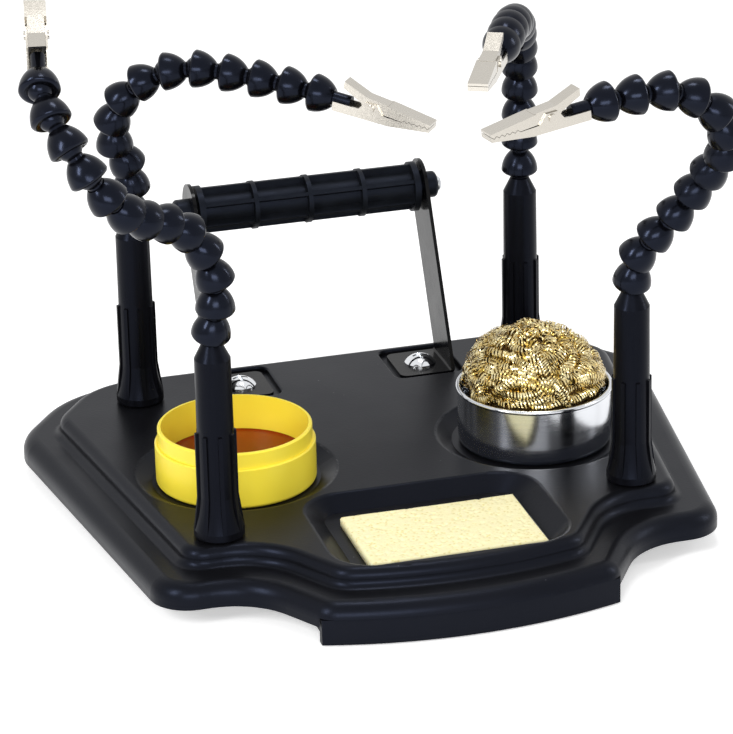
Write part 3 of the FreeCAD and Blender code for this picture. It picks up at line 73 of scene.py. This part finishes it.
def begin(name, colour, roughness, metallic=0.0):
    """New material: the material, its node tree, its shader and its place on the object in metres."""
    material = bpy.data.materials.new(name)
    material.use_nodes = True
    tree = material.node_tree
    shader = tree.nodes["Principled BSDF"]
    feed(
        tree,
        shader,
        [("Base Color", linear(colour)), ("Roughness", roughness), ("Metallic", metallic)],
    )
    return material, tree, shader, add(tree, "ShaderNodeTexCoord").outputs["Object"]


def dress(material, *names):
    """Give CAD nodes a material."""
    for name in names:
        for surface in nodes[name].material_slots:
            surface.material = material


def moulded_abs(name, dark, light, roughness, grain):
    """ABS from a spark-eroded mould: its flow shows as 35 mm clouds of tone and gloss, over a fine grain."""
    material, tree, shader, place = begin(name, dark, roughness)
    cloud = add(tree, "ShaderNodeTexNoise", [("Vector", place), ("Scale", 1 / 0.035), ("Detail", 3.0)])
    tone = add(
        tree,
        "ShaderNodeMix",
        [(0, cloud.outputs["Fac"]), (6, linear(dark)), (7, linear(light))],
        data_type="RGBA",
    )
    gloss = add(
        tree,
        "ShaderNodeMapRange",
        [("Value", cloud.outputs["Fac"]), ("From Min", 0.3), ("From Max", 0.7)]
        + [("To Min", roughness - 0.03), ("To Max", roughness + 0.05)],
    )
    pits = add(tree, "ShaderNodeTexNoise", [("Vector", place), ("Scale", 1 / grain), ("Detail", 2.0)])
    relief = add(
        tree,
        "ShaderNodeBump",
        [("Height", pits.outputs["Fac"]), ("Distance", grain * 0.06), ("Strength", 0.5)],
    )
    feed(
        tree,
        shader,
        [
            ("Base Color", tone.outputs[2]),
            ("Roughness", gloss.outputs["Result"]),
            ("Normal", relief.outputs["Normal"]),
            ("Specular IOR Level", 0.15),
            # Painted light: the blue Specular Tint gives the highlights a cool cast of light, though the
            # lamps shine white.
            ("Specular Tint", linear("#b8c9f8")),
        ],
    )
    return material, tree, shader, place


shell_abs, tree, shader, place = moulded_abs("moulded_abs_shell", "#0a0a0c", "#101012", 0.33, 0.0009)
clean_tone = shader.inputs["Base Color"].links[0].from_socket
specks = add(tree, "ShaderNodeTexVoronoi", [("Vector", place), ("Scale", 1 / 0.0062)])
speck = add(
    tree,
    "ShaderNodeMapRange",
    [("Value", specks.outputs["Distance"]), ("From Min", 0.03), ("From Max", 0.055)]
    + [("To Min", 1), ("To Max", 0)],
)
drift = add(tree, "ShaderNodeTexNoise", [("Vector", place), ("Scale", 1 / 0.009), ("Detail", 1.0)])
rare = add(
    tree,
    "ShaderNodeMapRange",
    [("Value", drift.outputs["Fac"]), ("From Min", 0.55), ("From Max", 0.68)]
    + [("To Min", 0), ("To Max", 0.5)],
)
facing = add(tree, "ShaderNodeNewGeometry")
upward = add(tree, "ShaderNodeSeparateXYZ", [("Vector", facing.outputs["Normal"])])
level = add(
    tree,
    "ShaderNodeMapRange",
    [("Value", upward.outputs["Z"]), ("From Min", 0.7), ("From Max", 0.98)],
)
dust = add(
    tree,
    "ShaderNodeMath",
    [(0, speck.outputs["Result"]), (1, rare.outputs["Result"])],
    operation="MULTIPLY",
)
dust = add(
    tree,
    "ShaderNodeMath",
    [(0, dust.outputs[0]), (1, level.outputs["Result"])],
    operation="MULTIPLY",
)
dusty = add(
    tree,
    "ShaderNodeMix",
    [(0, dust.outputs[0]), (6, clean_tone), (7, linear("#9a9a9c"))],
    data_type="RGBA",
)
feed(tree, shader, [("Base Color", dusty.outputs[2])])
dress(shell_abs, "base_shell")

# ---------------------------------------------------------------- bottom plate, its screws and the feet
# The plate is a flat ABS sheet that closes the shell from below, on five zinc-plated screws. The feet are
# black rubber buttons pushed into it, with the dull bloom that moulded rubber gets.
plate_abs = moulded_abs("abs_bottom_plate", "#101012", "#161618", 0.5, 0.0007)[0]
dress(plate_abs, "bottom_plate")


def plated_steel(name, colour, roughness, marks):
    """Plated steel: bright, with handling marks of a given size in its gloss."""
    material, tree, shader, place = begin(name, colour, roughness, metallic=1.0)
    rubbed = add(
        tree,
        "ShaderNodeTexNoise",
        [("Vector", place), ("Scale", 1 / marks), ("Detail", 4.0), ("Roughness", 0.7)],
    )
    gloss = add(
        tree,
        "ShaderNodeMapRange",
        [("Value", rubbed.outputs["Fac"]), ("From Min", 0.3), ("From Max", 0.7)]
        + [("To Min", roughness * 0.8), ("To Max", roughness * 1.35)],
    )
    relief = add(
        tree,
        "ShaderNodeBump",
        [("Height", rubbed.outputs["Fac"]), ("Distance", marks * 0.01), ("Strength", 0.4)],
    )
    feed(tree, shader, [("Roughness", gloss.outputs["Result"]), ("Normal", relief.outputs["Normal"])])
    return material


zinc = plated_steel("zinc_plated_steel", "#b9bcc0", 0.32, 0.0012)
dress(zinc, "bottom_plate_screws", "post_screws", "bracket_nuts")

rubber, tree, shader, place = begin("moulded_rubber_foot", "#151515", 0.8)
bloom = add(tree, "ShaderNodeTexNoise", [("Vector", place), ("Scale", 1 / 0.003), ("Detail", 4.0)])
tone = add(
    tree,
    "ShaderNodeMix",
    [(0, bloom.outputs["Fac"]), (6, linear("#101010")), (7, linear("#202020"))],
    data_type="RGBA",
)
relief = add(tree, "ShaderNodeBump", [("Height", bloom.outputs["Fac"]), ("Distance", 0.00004)])
feed(tree, shader, [("Base Color", tone.outputs[2]), ("Normal", relief.outputs["Normal"])])
dress(rubber, "rubber_feet")

# ---------------------------------------------------------------- drawer
# A shallow tray of the same ABS as the shell, from a plainer mould: its front is a little darker and its
# grain a little coarser.
drawer_abs = moulded_abs("moulded_abs_drawer", "#0a0a0c", "#0f0f11", 0.42, 0.0008)[0]
dress(drawer_abs, "drawer")

# ---------------------------------------------------------------- arm posts
# Ribbed tubes of black nylon, moulded upright and screwed down from below. Nylon has a satin skin, with
# faint flow lines along its length.
post_nylon, tree, shader, place = begin("moulded_nylon_post", "#09090b", 0.3)
stretched = add(tree, "ShaderNodeMapping", [("Vector", place), ("Scale", (1.0, 1.0, 0.12))])
flow = add(
    tree,
    "ShaderNodeTexNoise",
    [("Vector", stretched.outputs["Vector"]), ("Scale", 1 / 0.0022), ("Detail", 3.0)],
)
tone = add(
    tree,
    "ShaderNodeMix",
    [(0, flow.outputs["Fac"]), (6, linear("#070709")), (7, linear("#0d0d10"))],
    data_type="RGBA",
)
gloss = add(
    tree,
    "ShaderNodeMapRange",
    [("Value", flow.outputs["Fac"]), ("From Min", 0.3), ("From Max", 0.7)]
    + [("To Min", 0.26), ("To Max", 0.38)],
)
grain = add(tree, "ShaderNodeTexNoise", [("Vector", place), ("Scale", 1 / 0.0008)])
relief = add(tree, "ShaderNodeBump", [("Height", grain.outputs["Fac"]), ("Distance", 0.00003)])
feed(
    tree,
    shader,
    [
        ("Base Color", tone.outputs[2]),
        ("Roughness", gloss.outputs["Result"]),
        ("Normal", relief.outputs["Normal"]),
        ("Specular IOR Level", 0.1),
        # Painted light: the blue Specular Tint gives the highlights a cool cast of light, though the lamps
        # shine white.
        ("Specular Tint", linear("#b8c9f8")),
    ],
)
dress(post_nylon, *[name for name in nodes if name.endswith("_post")])

# ---------------------------------------------------------------- links of the arms
# Bell-shaped links of black acetal that snap over each other's balls. Acetal comes out of a polished mould
# glossy and a little waxy, so each link carries a sharp highlight with a soft edge.
acetal, tree, shader, place = begin("polished_acetal_link", "#060608", 0.2)
waxy = add(tree, "ShaderNodeTexNoise", [("Vector", place), ("Scale", 1 / 0.004), ("Detail", 3.0)])
tone = add(
    tree,
    "ShaderNodeMix",
    [(0, waxy.outputs["Fac"]), (6, linear("#040406")), (7, linear("#0a0a0d"))],
    data_type="RGBA",
)
gloss = add(
    tree,
    "ShaderNodeMapRange",
    [("Value", waxy.outputs["Fac"]), ("From Min", 0.3), ("From Max", 0.7)]
    + [("To Min", 0.16), ("To Max", 0.27)],
)
feed(
    tree,
    shader,
    [
        ("Base Color", tone.outputs[2]),
        ("Roughness", gloss.outputs["Result"]),
        ("Specular IOR Level", 0.22),
        # Painted light: the blue Specular Tint gives the highlights a cool cast of light, though the lamps
        # shine white.
        ("Specular Tint", linear("#b8c9f8")),
    ],
)
dress(acetal, *[name for name in nodes if "_links_" in name or name.endswith("_clip_socket")])

# ---------------------------------------------------------------- clips
# Spring clips stamped from thin steel and nickel plated, with a spring of hard wire round the rivet. The
# nickel is warm and bright, and the bare wire greyer.
nickel = plated_steel("nickel_plated_clip", "#c4bfb6", 0.24, 0.0009)
dress(nickel, *[name for name in nodes if name.endswith("_jaw")])
spring_steel = plated_steel("spring_steel_wire", "#9a9a9c", 0.3, 0.0005)
dress(spring_steel, *[name for name in nodes if name.endswith("_clip_spring")])

# ---------------------------------------------------------------- brackets and their screws
# Strips of sheet steel, folded, drilled and dipped in gloss black enamel, which keeps a slight orange peel
# about 1.6 mm across. Chromed pan-head screws hold the feet down.
enamel, tree, shader, place = begin("gloss_enamelled_sheet", "#08080a", 0.2)
dulled = add(tree, "ShaderNodeTexNoise", [("Vector", place), ("Scale", 1 / 0.01), ("Detail", 3.0)])
gloss = add(
    tree,
    "ShaderNodeMapRange",
    [("Value", dulled.outputs["Fac"]), ("From Min", 0.3), ("From Max", 0.7)]
    + [("To Min", 0.16), ("To Max", 0.28)],
)
peel = add(tree, "ShaderNodeTexNoise", [("Vector", place), ("Scale", 1 / 0.0016), ("Detail", 1.0)])
relief = add(
    tree, "ShaderNodeBump", [("Height", peel.outputs["Fac"]), ("Distance", 0.00004), ("Strength", 0.5)]
)
feed(
    tree,
    shader,
    [("Roughness", gloss.outputs["Result"]), ("Normal", relief.outputs["Normal"])]
    + [("Specular IOR Level", 0.14)],
)
dress(enamel, "left_bracket", "right_bracket")
chrome = plated_steel("chromed_screw_head", "#e4e6e9", 0.08, 0.0008)
dress(chrome, "bracket_screws")

# ---------------------------------------------------------------- spool roller, axle, nuts and washers
# The roller is a moulded nylon reel with fins and discs, dull from its mould and worn by wire, on a steel
# rod that is held by two round nuts of the same nylon, with a washer inside each.
reel_nylon, tree, shader, place = begin("moulded_nylon_reel", "#141517", 0.45)
worn = add(tree, "ShaderNodeTexNoise", [("Vector", place), ("Scale", 1 / 0.006), ("Detail", 4.0)])
tone = add(
    tree,
    "ShaderNodeMix",
    [(0, worn.outputs["Fac"]), (6, linear("#0b0c0e")), (7, linear("#16181b"))],
    data_type="RGBA",
)
gloss = add(
    tree,
    "ShaderNodeMapRange",
    [("Value", worn.outputs["Fac"]), ("From Min", 0.3), ("From Max", 0.7)]
    + [("To Min", 0.36), ("To Max", 0.55)],
)
feed(
    tree,
    shader,
    [
        ("Base Color", tone.outputs[2]),
        ("Roughness", gloss.outputs["Result"]),
        ("Specular IOR Level", 0.18),
        # Painted light: the blue Specular Tint gives the highlights a cool cast of light, though the lamps
        # shine white.
        ("Specular Tint", linear("#b8c9f8")),
    ],
)
dress(reel_nylon, "spool_roller", "axle_nuts", "axle_washers")
dress(zinc, "roller_axle")

# ---------------------------------------------------------------- flux cup and rosin
# The cup is moulded in yellow polypropylene, a slightly waxy plastic that lets a little light through. The
# rosin was poured in hot and set: it is a clear dark amber, wavy on top.
yellow, tree, shader, place = begin("yellow_polypropylene", "#f6de3a", 0.36)
milky = add(tree, "ShaderNodeTexNoise", [("Vector", place), ("Scale", 1 / 0.02)])
tone = add(
    tree,
    "ShaderNodeMix",
    [(0, milky.outputs["Fac"]), (6, linear("#f9e036")), (7, linear("#fde94e"))],
    data_type="RGBA",
)
rubbed = add(tree, "ShaderNodeTexNoise", [("Vector", place), ("Scale", 1 / 0.0012)])
relief = add(
    tree, "ShaderNodeBump", [("Height", rubbed.outputs["Fac"]), ("Distance", 0.00003), ("Strength", 0.5)]
)
feed(
    tree,
    shader,
    [
        ("Base Color", tone.outputs[2]),
        ("Normal", relief.outputs["Normal"]),
        ("Subsurface Weight", 0.08),
        ("Subsurface Radius", (0.003, 0.002, 0.0005)),
    ],
)
dress(yellow, "flux_cup")

amber, tree, shader, place = begin("poured_rosin", "#8c3c04", 0.1)
depth = add(tree, "ShaderNodeTexNoise", [("Vector", place), ("Scale", 1 / 0.018), ("Detail", 3.0)])
tone = add(
    tree,
    "ShaderNodeMix",
    [(0, depth.outputs["Fac"]), (6, linear("#6a1e00")), (7, linear("#9a3600"))],
    data_type="RGBA",
)
waves = add(tree, "ShaderNodeTexNoise", [("Vector", place), ("Scale", 1 / 0.012)])
relief = add(
    tree, "ShaderNodeBump", [("Height", waves.outputs["Fac"]), ("Distance", 0.0003), ("Strength", 0.4)]
)
feed(
    tree,
    shader,
    [("Base Color", tone.outputs[2]), ("Normal", relief.outputs["Normal"])]
    + [("Specular IOR Level", 0.15)],
)
dress(amber, "rosin")

# ---------------------------------------------------------------- wool tin
# A drawn cup of bright tinplate with a curled rim. It was polished going round, so its reflections smear
# up and down into soft bands. The lines are drawn 0.6 mm apart, coarser than the real ones, to show.
tinplate, tree, shader, place = begin("polished_tinplate", "#d2d4d8", 0.14, metallic=1.0)
rings = add(tree, "ShaderNodeMapping", [("Vector", place), ("Scale", (0.05, 0.05, 1.0))])
lines = add(
    tree,
    "ShaderNodeTexNoise",
    [("Vector", rings.outputs["Vector"]), ("Scale", 1 / 0.0006), ("Detail", 3.0), ("Roughness", 0.7)],
)
gloss = add(
    tree,
    "ShaderNodeMapRange",
    [("Value", lines.outputs["Fac"]), ("From Min", 0.3), ("From Max", 0.7)]
    + [("To Min", 0.12), ("To Max", 0.22)],
)
relief = add(
    tree, "ShaderNodeBump", [("Height", lines.outputs["Fac"]), ("Distance", 0.00002), ("Strength", 0.5)]
)
feed(tree, shader, [("Roughness", gloss.outputs["Result"]), ("Normal", relief.outputs["Normal"])])
dress(tinplate, "wool_tin")

# ---------------------------------------------------------------- brass wool
# Brass turnings: flat strip that came off a lathe as long springs, 4 mm across, and was balled up by hand.
# The springs lie across each other in untidy bands, and each coil is a bright sickle with a gap behind it.
def mesh_from(name, points, faces, material):
    """Smooth object at the origin from its vertices and faces, given as arrays."""
    mesh = bpy.data.meshes.new(name)
    mesh.vertices.add(len(points))
    mesh.vertices.foreach_set("co", np.asarray(points, dtype=np.float32).ravel())
    sides = faces.shape[1]
    mesh.loops.add(faces.size)
    mesh.loops.foreach_set("vertex_index", faces.astype(np.int32).ravel())
    mesh.polygons.add(len(faces))
    mesh.polygons.foreach_set("loop_start", np.arange(0, faces.size, sides, dtype=np.int32))
    mesh.polygons.foreach_set("use_smooth", np.full(len(faces), True))
    mesh.update(calc_edges=True)
    mesh.validate()
    mesh.materials.append(material)
    made = bpy.data.objects.new(name, mesh)
    bpy.context.scene.collection.objects.link(made)
    return made


def grid_faces(rows, columns, wrap=False):
    """Quads between the points of a grid, row by row, closed round the columns if they wrap."""
    across = np.arange(columns if wrap else columns - 1)
    row, column = np.meshgrid(np.arange(rows - 1), across, indexing="ij")
    beside = (column + 1) % columns
    corners = [row * columns + column, row * columns + beside]
    corners += [(row + 1) * columns + beside, (row + 1) * columns + column]
    return np.stack(corners, axis=-1).reshape(-1, 4)


low, high = (np.array(corner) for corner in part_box("brass_wool"))
tin_low, tin_high = (np.array(corner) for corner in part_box("wool_tin"))
heap_middle = (low + high) / 2
heap_overhang = 0.0006
heap_radius = (high[0] - low[0]) / 2 + heap_overhang
rim_level = tin_high[2]
heap_sink = 0.0015
heap_rise = high[2] - rim_level
coil_radius = 0.0023
coil_pitch = 0.00125
coil_steps = 12
strip_width = 0.0006
spring_length = 0.026
rows_on_heap = 8
spacing_in_row = 0.016
loose_springs = 48
wander_knots = 7
tin_wall_and_gap = 0.0012
rim_clearance = 0.0015


def on_heap(across, turn, inside):
    """Point of the heap's skin, moved in by a depth: a full dome, r = R sin(a), z = H cos(a)^0.9, whose top
    leans to the left. a runs from 0 at the top to a quarter turn at the rim."""
    lump = 1 + 0.035 * np.sin(3 * turn + 9 * across) + 0.03 * np.sin(7 * turn - 5 * across)
    reach = (heap_radius - inside) * np.sin(across)
    tilt = 1 - 0.08 * np.sin(across) * np.cos(turn)
    rise = (heap_rise - inside) * np.cos(across).clip(0) ** 0.9 * lump * tilt
    return np.stack([reach * np.cos(turn), reach * np.sin(turn), rim_level - heap_sink + rise], axis=-1)


def laid_springs(dice):
    """Where each spring lies: its place across the heap and round it, its heading and its depth. Rows run
    round the heap from the rim to the top, and loose springs lie over them every way."""
    spots = []
    for across in np.linspace(1.47, 0.14, rows_on_heap):
        count = max(1, round(2 * math.pi * math.sin(across) * heap_radius / spacing_in_row))
        for turn in np.arange(count) * 2 * math.pi / count + dice.uniform(0, 2 * math.pi):
            nudged, heading = turn + dice.normal(0, 0.08), dice.normal(0, 0.16)
            spots.append((across, nudged, heading, dice.uniform(0.0004, 0.0022)))
    for _ in range(loose_springs):
        across, turn = math.acos(dice.uniform(0.15, 1)), dice.uniform(0, 2 * math.pi)
        spots.append((across, turn, dice.normal(0, 0.7), dice.uniform(0, 0.0006)))
    return spots


def spring_on_heap(dice, spot, spot_turn, heading, sink):
    """Vertices of one curled strip: c(s) + r(s) (n cos p + b sin p), a helix along a path on the heap, with
    the strip's half width to each side along the path. Radius, phase and path wander with smooth noise."""
    turns = int(spring_length * dice.uniform(0.8, 1.3) / coil_pitch)
    count = turns * coil_steps
    along = np.linspace(0, 1, count)
    knots = np.linspace(0, 1, wander_knots)
    length = turns * coil_pitch / heap_radius
    wander = np.interp(along, knots, dice.normal(0, 0.03, wander_knots))
    across = spot + wander + length * math.sin(heading) * (along - 0.5)
    across = np.clip(across, 0.03, 1.52)
    turn = spot_turn + length * math.cos(heading) * (along - 0.5) / max(math.sin(spot), 0.25)
    inside = coil_radius + sink * 1.3 + np.interp(along, knots, dice.normal(0, 0.0003, wander_knots))
    centre = on_heap(across, turn, np.maximum(inside, coil_radius))
    ahead = np.gradient(centre, axis=0)
    ahead /= np.linalg.norm(ahead, axis=1)[:, None]
    side = np.cross(ahead, centre / np.linalg.norm(centre, axis=1)[:, None])
    side /= np.linalg.norm(side, axis=1)[:, None]
    up = np.cross(side, ahead)
    slack = np.interp(along, np.linspace(0, 1, turns), dice.normal(0, 0.5, turns))
    phase = np.arange(count) * (2 * math.pi / coil_steps) + slack
    fat = coil_radius * (1 + 0.1 * np.interp(along, np.linspace(0, 1, turns), dice.normal(0, 1, turns)))
    lean = np.interp(along, knots, dice.normal(0, 0.5, wander_knots))
    outward = up * np.cos(phase)[:, None] + side * np.sin(phase)[:, None]
    outward = outward + ahead * (np.sin(phase + lean) * 0.25)[:, None]
    middle = centre + outward * fat[:, None]
    half = ahead * (strip_width / 2) * (0.8 + 0.4 * dice.random())
    return np.stack([middle - half, middle + half], axis=1).reshape(-1, 3)


brass, tree, shader, place = begin("curled_brass_strip", "#dcc078", 0.2, metallic=1.0)
tarnish = add(tree, "ShaderNodeTexNoise", [("Vector", place), ("Scale", 1 / 0.004), ("Detail", 3.0)])
aged = add(
    tree,
    "ShaderNodeMapRange",
    [("Value", tarnish.outputs["Fac"]), ("From Min", 0.35), ("From Max", 0.65)],
)
tone = add(
    tree,
    "ShaderNodeMix",
    [(0, aged.outputs["Result"]), (6, linear("#b89a4c")), (7, linear("#f4e6b4"))],
    data_type="RGBA",
)
gloss = add(
    tree,
    "ShaderNodeMapRange",
    [("Value", tarnish.outputs["Fac"]), ("From Min", 0.3), ("From Max", 0.7)]
    + [("To Min", 0.26), ("To Max", 0.14)],
)
feed(tree, shader, [("Base Color", tone.outputs[2]), ("Roughness", gloss.outputs["Result"])])

dice = np.random.default_rng(11)
strands = [spring_on_heap(dice, *spot) for spot in laid_springs(dice)]
starts = np.cumsum([0] + [len(strand) for strand in strands[:-1]])
faces = [grid_faces(len(strand) // 2, 2) + start for strand, start in zip(strands, starts)]
curls = np.concatenate(strands)
curls[:, 2] = np.minimum(curls[:, 2], high[2])
tin_inside = (tin_high[0] - tin_low[0]) / 2 - tin_wall_and_gap
wide = np.linalg.norm(curls[:, :2], axis=1)
squeeze = np.minimum(1, tin_inside / np.maximum(wide, 1e-9))
curls[:, :2] *= np.where(curls[:, 2] < rim_level + rim_clearance, squeeze, 1)[:, None]
wool = mesh_from("brass_wool_curls", curls + heap_middle * [1, 1, 0], np.concatenate(faces), brass)
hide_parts("brass_wool")
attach(wool, "wool")

# The heart of the heap stands for more of the same strip, seen at rest only through the gaps between the
# curls. It is painted shade:
# a dark, lumpy brown mass painted with the shade that falls into the gaps between the coils. It is a dome on
# a straight skirt that reaches near the tin's floor, open below.
heart_painted_shade, tree, shader, place = begin("brass_heart_painted_shade", "#3a2a0e", 0.6, metallic=0.7)
matted = add(
    tree,
    "ShaderNodeTexNoise",
    [("Vector", place), ("Scale", 1 / 0.002), ("Detail", 4.0), ("Roughness", 0.7)],
)
# Painted shade: near black to dark brown, far darker than the lit curls.
tone = add(
    tree,
    "ShaderNodeMix",
    [(0, matted.outputs["Fac"]), (6, linear("#1a1004")), (7, linear("#6a4c1a"))],
    data_type="RGBA",
)
relief = add(tree, "ShaderNodeBump", [("Height", matted.outputs["Fac"]), ("Distance", 0.0012)])
feed(tree, shader, [("Base Color", tone.outputs[2]), ("Normal", relief.outputs["Normal"])])
heart_depth = 0.0036
heart_lift = 0.003
heart_rows, heart_columns = 60, 96
skirt_share = 0.4
turns_round = np.linspace(0, 2 * math.pi, heart_columns, endpoint=False)
turn, down = np.meshgrid(turns_round, np.linspace(0.001, 1 + skirt_share, heart_rows))
dome = on_heap(np.minimum(down, 1.0) * math.pi / 2, turn, heart_depth)
dome[..., 2] -= np.maximum(down - 1, 0) / skirt_share * (rim_level - heart_lift - low[2])
heart = mesh_from(
    "brass_wool_heart",
    dome.reshape(-1, 3) + heap_middle * [1, 1, 0],
    grid_faces(heart_rows, heart_columns, wrap=True)[:, ::-1],
    heart_painted_shade,
)
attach(heart, "wool")

# ---------------------------------------------------------------- sponge
# Pressed cellulose, cut from a sheet with a knife and laid loose in the tray, not yet wetted: pale yellow
# with fine open pores, and a top that is softly rounded at its edges and pitted. The pores are painted a
# darker yellow, as painted shade inside them.
low, high = (np.array(corner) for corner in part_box("sponge"))
half, middle = (high - low) / 2, (high + low) / 2
edge_round = 0.0008
wave_room = 0.0002
wave_height = 0.00012
pit_count = 260
cellulose, tree, shader, place = begin("pressed_cellulose_sponge", "#fcf4b8", 0.9)
pores = add(tree, "ShaderNodeTexVoronoi", [("Vector", place), ("Scale", 1 / 0.0018)])
fine = add(
    tree,
    "ShaderNodeTexNoise",
    [("Vector", place), ("Scale", 1 / 0.0009), ("Detail", 4.0), ("Roughness", 0.7)],
)
pitted = add(
    tree, "ShaderNodeMath", [(0, pores.outputs["Distance"]), (1, fine.outputs["Fac"])], operation="MULTIPLY"
)
pore_shade_mask = add(
    tree, "ShaderNodeMapRange", [("Value", pitted.outputs[0]), ("From Min", 0.04), ("From Max", 0.2)]
)
# Painted shade: the pits of the pores take the darker yellow.
tone = add(
    tree,
    "ShaderNodeMix",
    [(0, pore_shade_mask.outputs["Result"]), (6, linear("#eadb98")), (7, linear("#fdf4c4"))],
    data_type="RGBA",
)
relief = add(
    tree, "ShaderNodeBump", [("Height", pitted.outputs[0]), ("Distance", 0.0004), ("Strength", 0.6)]
)
feed(
    tree,
    shader,
    [
        ("Base Color", tone.outputs[2]),
        ("Normal", relief.outputs["Normal"]),
        ("Subsurface Weight", 0.1),
        ("Subsurface Radius", (0.002, 0.0015, 0.0006)),
        ("Specular IOR Level", 0.2),
    ],
)


def sponge_top(across, deep):
    """Height of the sponge's top: its flat, less a soft rounding at the edges, gentle waves and scattered
    round pits exp(-(d / r)^2) deep."""
    dice = np.random.default_rng(5)
    edge = np.minimum((1 - np.abs(across)) * half[0], (1 - np.abs(deep)) * half[1])
    level = high[2] - wave_room - np.clip(1 - edge / edge_round, 0, 1) ** 2 * edge_round
    level += wave_height * np.sin(3.1 * across + 1) * np.sin(2.3 * deep + 2)
    spots = dice.uniform(-0.97, 0.97, (2, pit_count))
    for spot_x, spot_y, pit in zip(*spots, dice.uniform(0.0003, 0.0008, pit_count)):
        gap = np.hypot((across - spot_x) * half[0], (deep - spot_y) * half[1])
        level -= 0.6 * pit * np.exp(-((gap / pit) ** 2))
    return np.minimum(level, high[2])


across, deep = np.meshgrid(np.linspace(-1, 1, 150), np.linspace(-1, 1, 96))
rows, columns = across.shape
upper = np.stack(
    [middle[0] + across * half[0], middle[1] + deep * half[1], sponge_top(across, deep)], axis=-1
)
lower = upper.copy()
lower[..., 2] = low[2]
front, right = np.arange(columns), np.arange(1, rows) * columns + columns - 1
back, left = rows * columns - 2 - np.arange(columns - 1), np.arange(rows - 2, 0, -1) * columns
rim = np.concatenate([front, right, back, left])
after, count = np.roll(rim, -1), rows * columns
quads = grid_faces(rows, columns)
walls = np.stack([rim + count, after + count, after, rim], axis=1)
points = np.concatenate([upper.reshape(-1, 3), lower.reshape(-1, 3)])
faces = np.concatenate([quads, quads[:, ::-1] + count, walls])
sponge = mesh_from("cellulose_sponge", points, faces, cellulose)
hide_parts("sponge")
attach(sponge, "sponge")

# ---------------------------------------------------------------- floor, light and camera
# White studio paper under four soft boxes and an even sky. The camera stands a little left of the front
# and looks down at the station.
posts = [np.array(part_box(name)).mean(axis=0) for name in nodes if name.endswith("_post")]
centre = Vector(np.mean(posts, axis=0) * [1, 1, 0])
paper, tree, shader, place = begin("studio_paper", "#ffffff", 0.9)
fibres = add(tree, "ShaderNodeTexNoise", [("Vector", place), ("Scale", 1 / 0.05)])
tone = add(
    tree,
    "ShaderNodeMix",
    [(0, fibres.outputs["Fac"]), (6, linear("#fcfcfc")), (7, linear("#ffffff"))],
    data_type="RGBA",
)
rays = add(tree, "ShaderNodeLightPath")
seen = add(
    tree,
    "ShaderNodeMath",
    [(0, rays.outputs["Is Camera Ray"]), (1, rays.outputs["Is Glossy Ray"])],
    operation="MAXIMUM",
)
glow = add(tree, "ShaderNodeMapRange", [("Value", seen.outputs[0]), ("To Min", 0.0), ("To Max", 0.4)])
feed(
    tree,
    shader,
    [
        ("Base Color", tone.outputs[2]),
        ("Specular IOR Level", 0.0),
        ("Emission Color", linear("#ffffff")),
        ("Emission Strength", glow.outputs["Result"]),
    ],
)
floor_half = 6
corners = floor_half * np.array([[-1, -1, 0], [1, -1, 0], [1, 1, 0], [-1, 1, 0]])
floor = mesh_from("studio_floor", corners, np.array([[0, 1, 2, 3]]), paper)

world = bpy.data.worlds.new("studio")
bpy.context.scene.world = world
world.use_nodes = True
tree = world.node_tree
rays = add(tree, "ShaderNodeLightPath")
seen = add(
    tree,
    "ShaderNodeMath",
    [(0, rays.outputs["Is Camera Ray"]), (1, rays.outputs["Is Glossy Ray"])],
    operation="MAXIMUM",
)
seen = add(
    tree,
    "ShaderNodeMath",
    [(0, seen.outputs[0]), (1, rays.outputs["Is Transmission Ray"])],
    operation="MAXIMUM",
)
strength = add(tree, "ShaderNodeMapRange", [("Value", seen.outputs[0]), ("To Min", 0.45), ("To Max", 1.0)])
feed(
    tree,
    tree.nodes["Background"],
    [("Color", linear("#ffffff")), ("Strength", strength.outputs["Result"])],
)
lamps_aim = Vector((0, 0, 0.06))


def softbox(name, spot, width, height, power):
    """Rectangular lamp that looks at the station."""
    lamp = bpy.data.lights.new(name, "AREA")
    lamp.shape = "RECTANGLE"
    lamp.size = width
    lamp.size_y = height
    lamp.energy = power
    made = bpy.data.objects.new(name, lamp)
    made.location = spot
    made.rotation_euler = (lamps_aim - Vector(spot)).to_track_quat("-Z", "Y").to_euler()
    bpy.context.scene.collection.objects.link(made)


softbox("softbox_over", (0.1, 0.1, 1.1), 0.3, 0.2, 2.4)
softbox("softbox_left", (-0.9, -0.5, 0.7), 0.16, 0.5, 7)
softbox("softbox_right", (1.0, -0.2, 0.5), 0.1, 0.5, 2)
softbox("softbox_front", (-0.3, -1.4, 0.5), 0.8, 0.4, 9)

side_turn, fall, roll = math.radians(15.14), math.radians(22.16), math.radians(-1.43)
distance = 1.377
sensor_width, focal_length = 36, 179.75
target = centre + Vector((-0.0041, 0, 0.0526))
ahead = Vector((math.sin(side_turn) * math.cos(fall), math.cos(side_turn) * math.cos(fall), -math.sin(fall)))
camera_data = bpy.data.cameras.new("camera")
camera_data.sensor_fit = "HORIZONTAL"
camera_data.sensor_width = sensor_width
camera_data.lens = focal_length
camera = bpy.data.objects.new("camera", camera_data)
camera.matrix_world = (
    Matrix.Translation(target - ahead * distance)
    @ ahead.to_track_quat("-Z", "Y").to_matrix().to_4x4()
    @ Matrix.Rotation(roll, 4, "Z")
)
bpy.context.scene.collection.objects.link(camera)
bpy.context.scene.camera = camera
bpy.context.scene.view_settings.view_transform = "Standard"
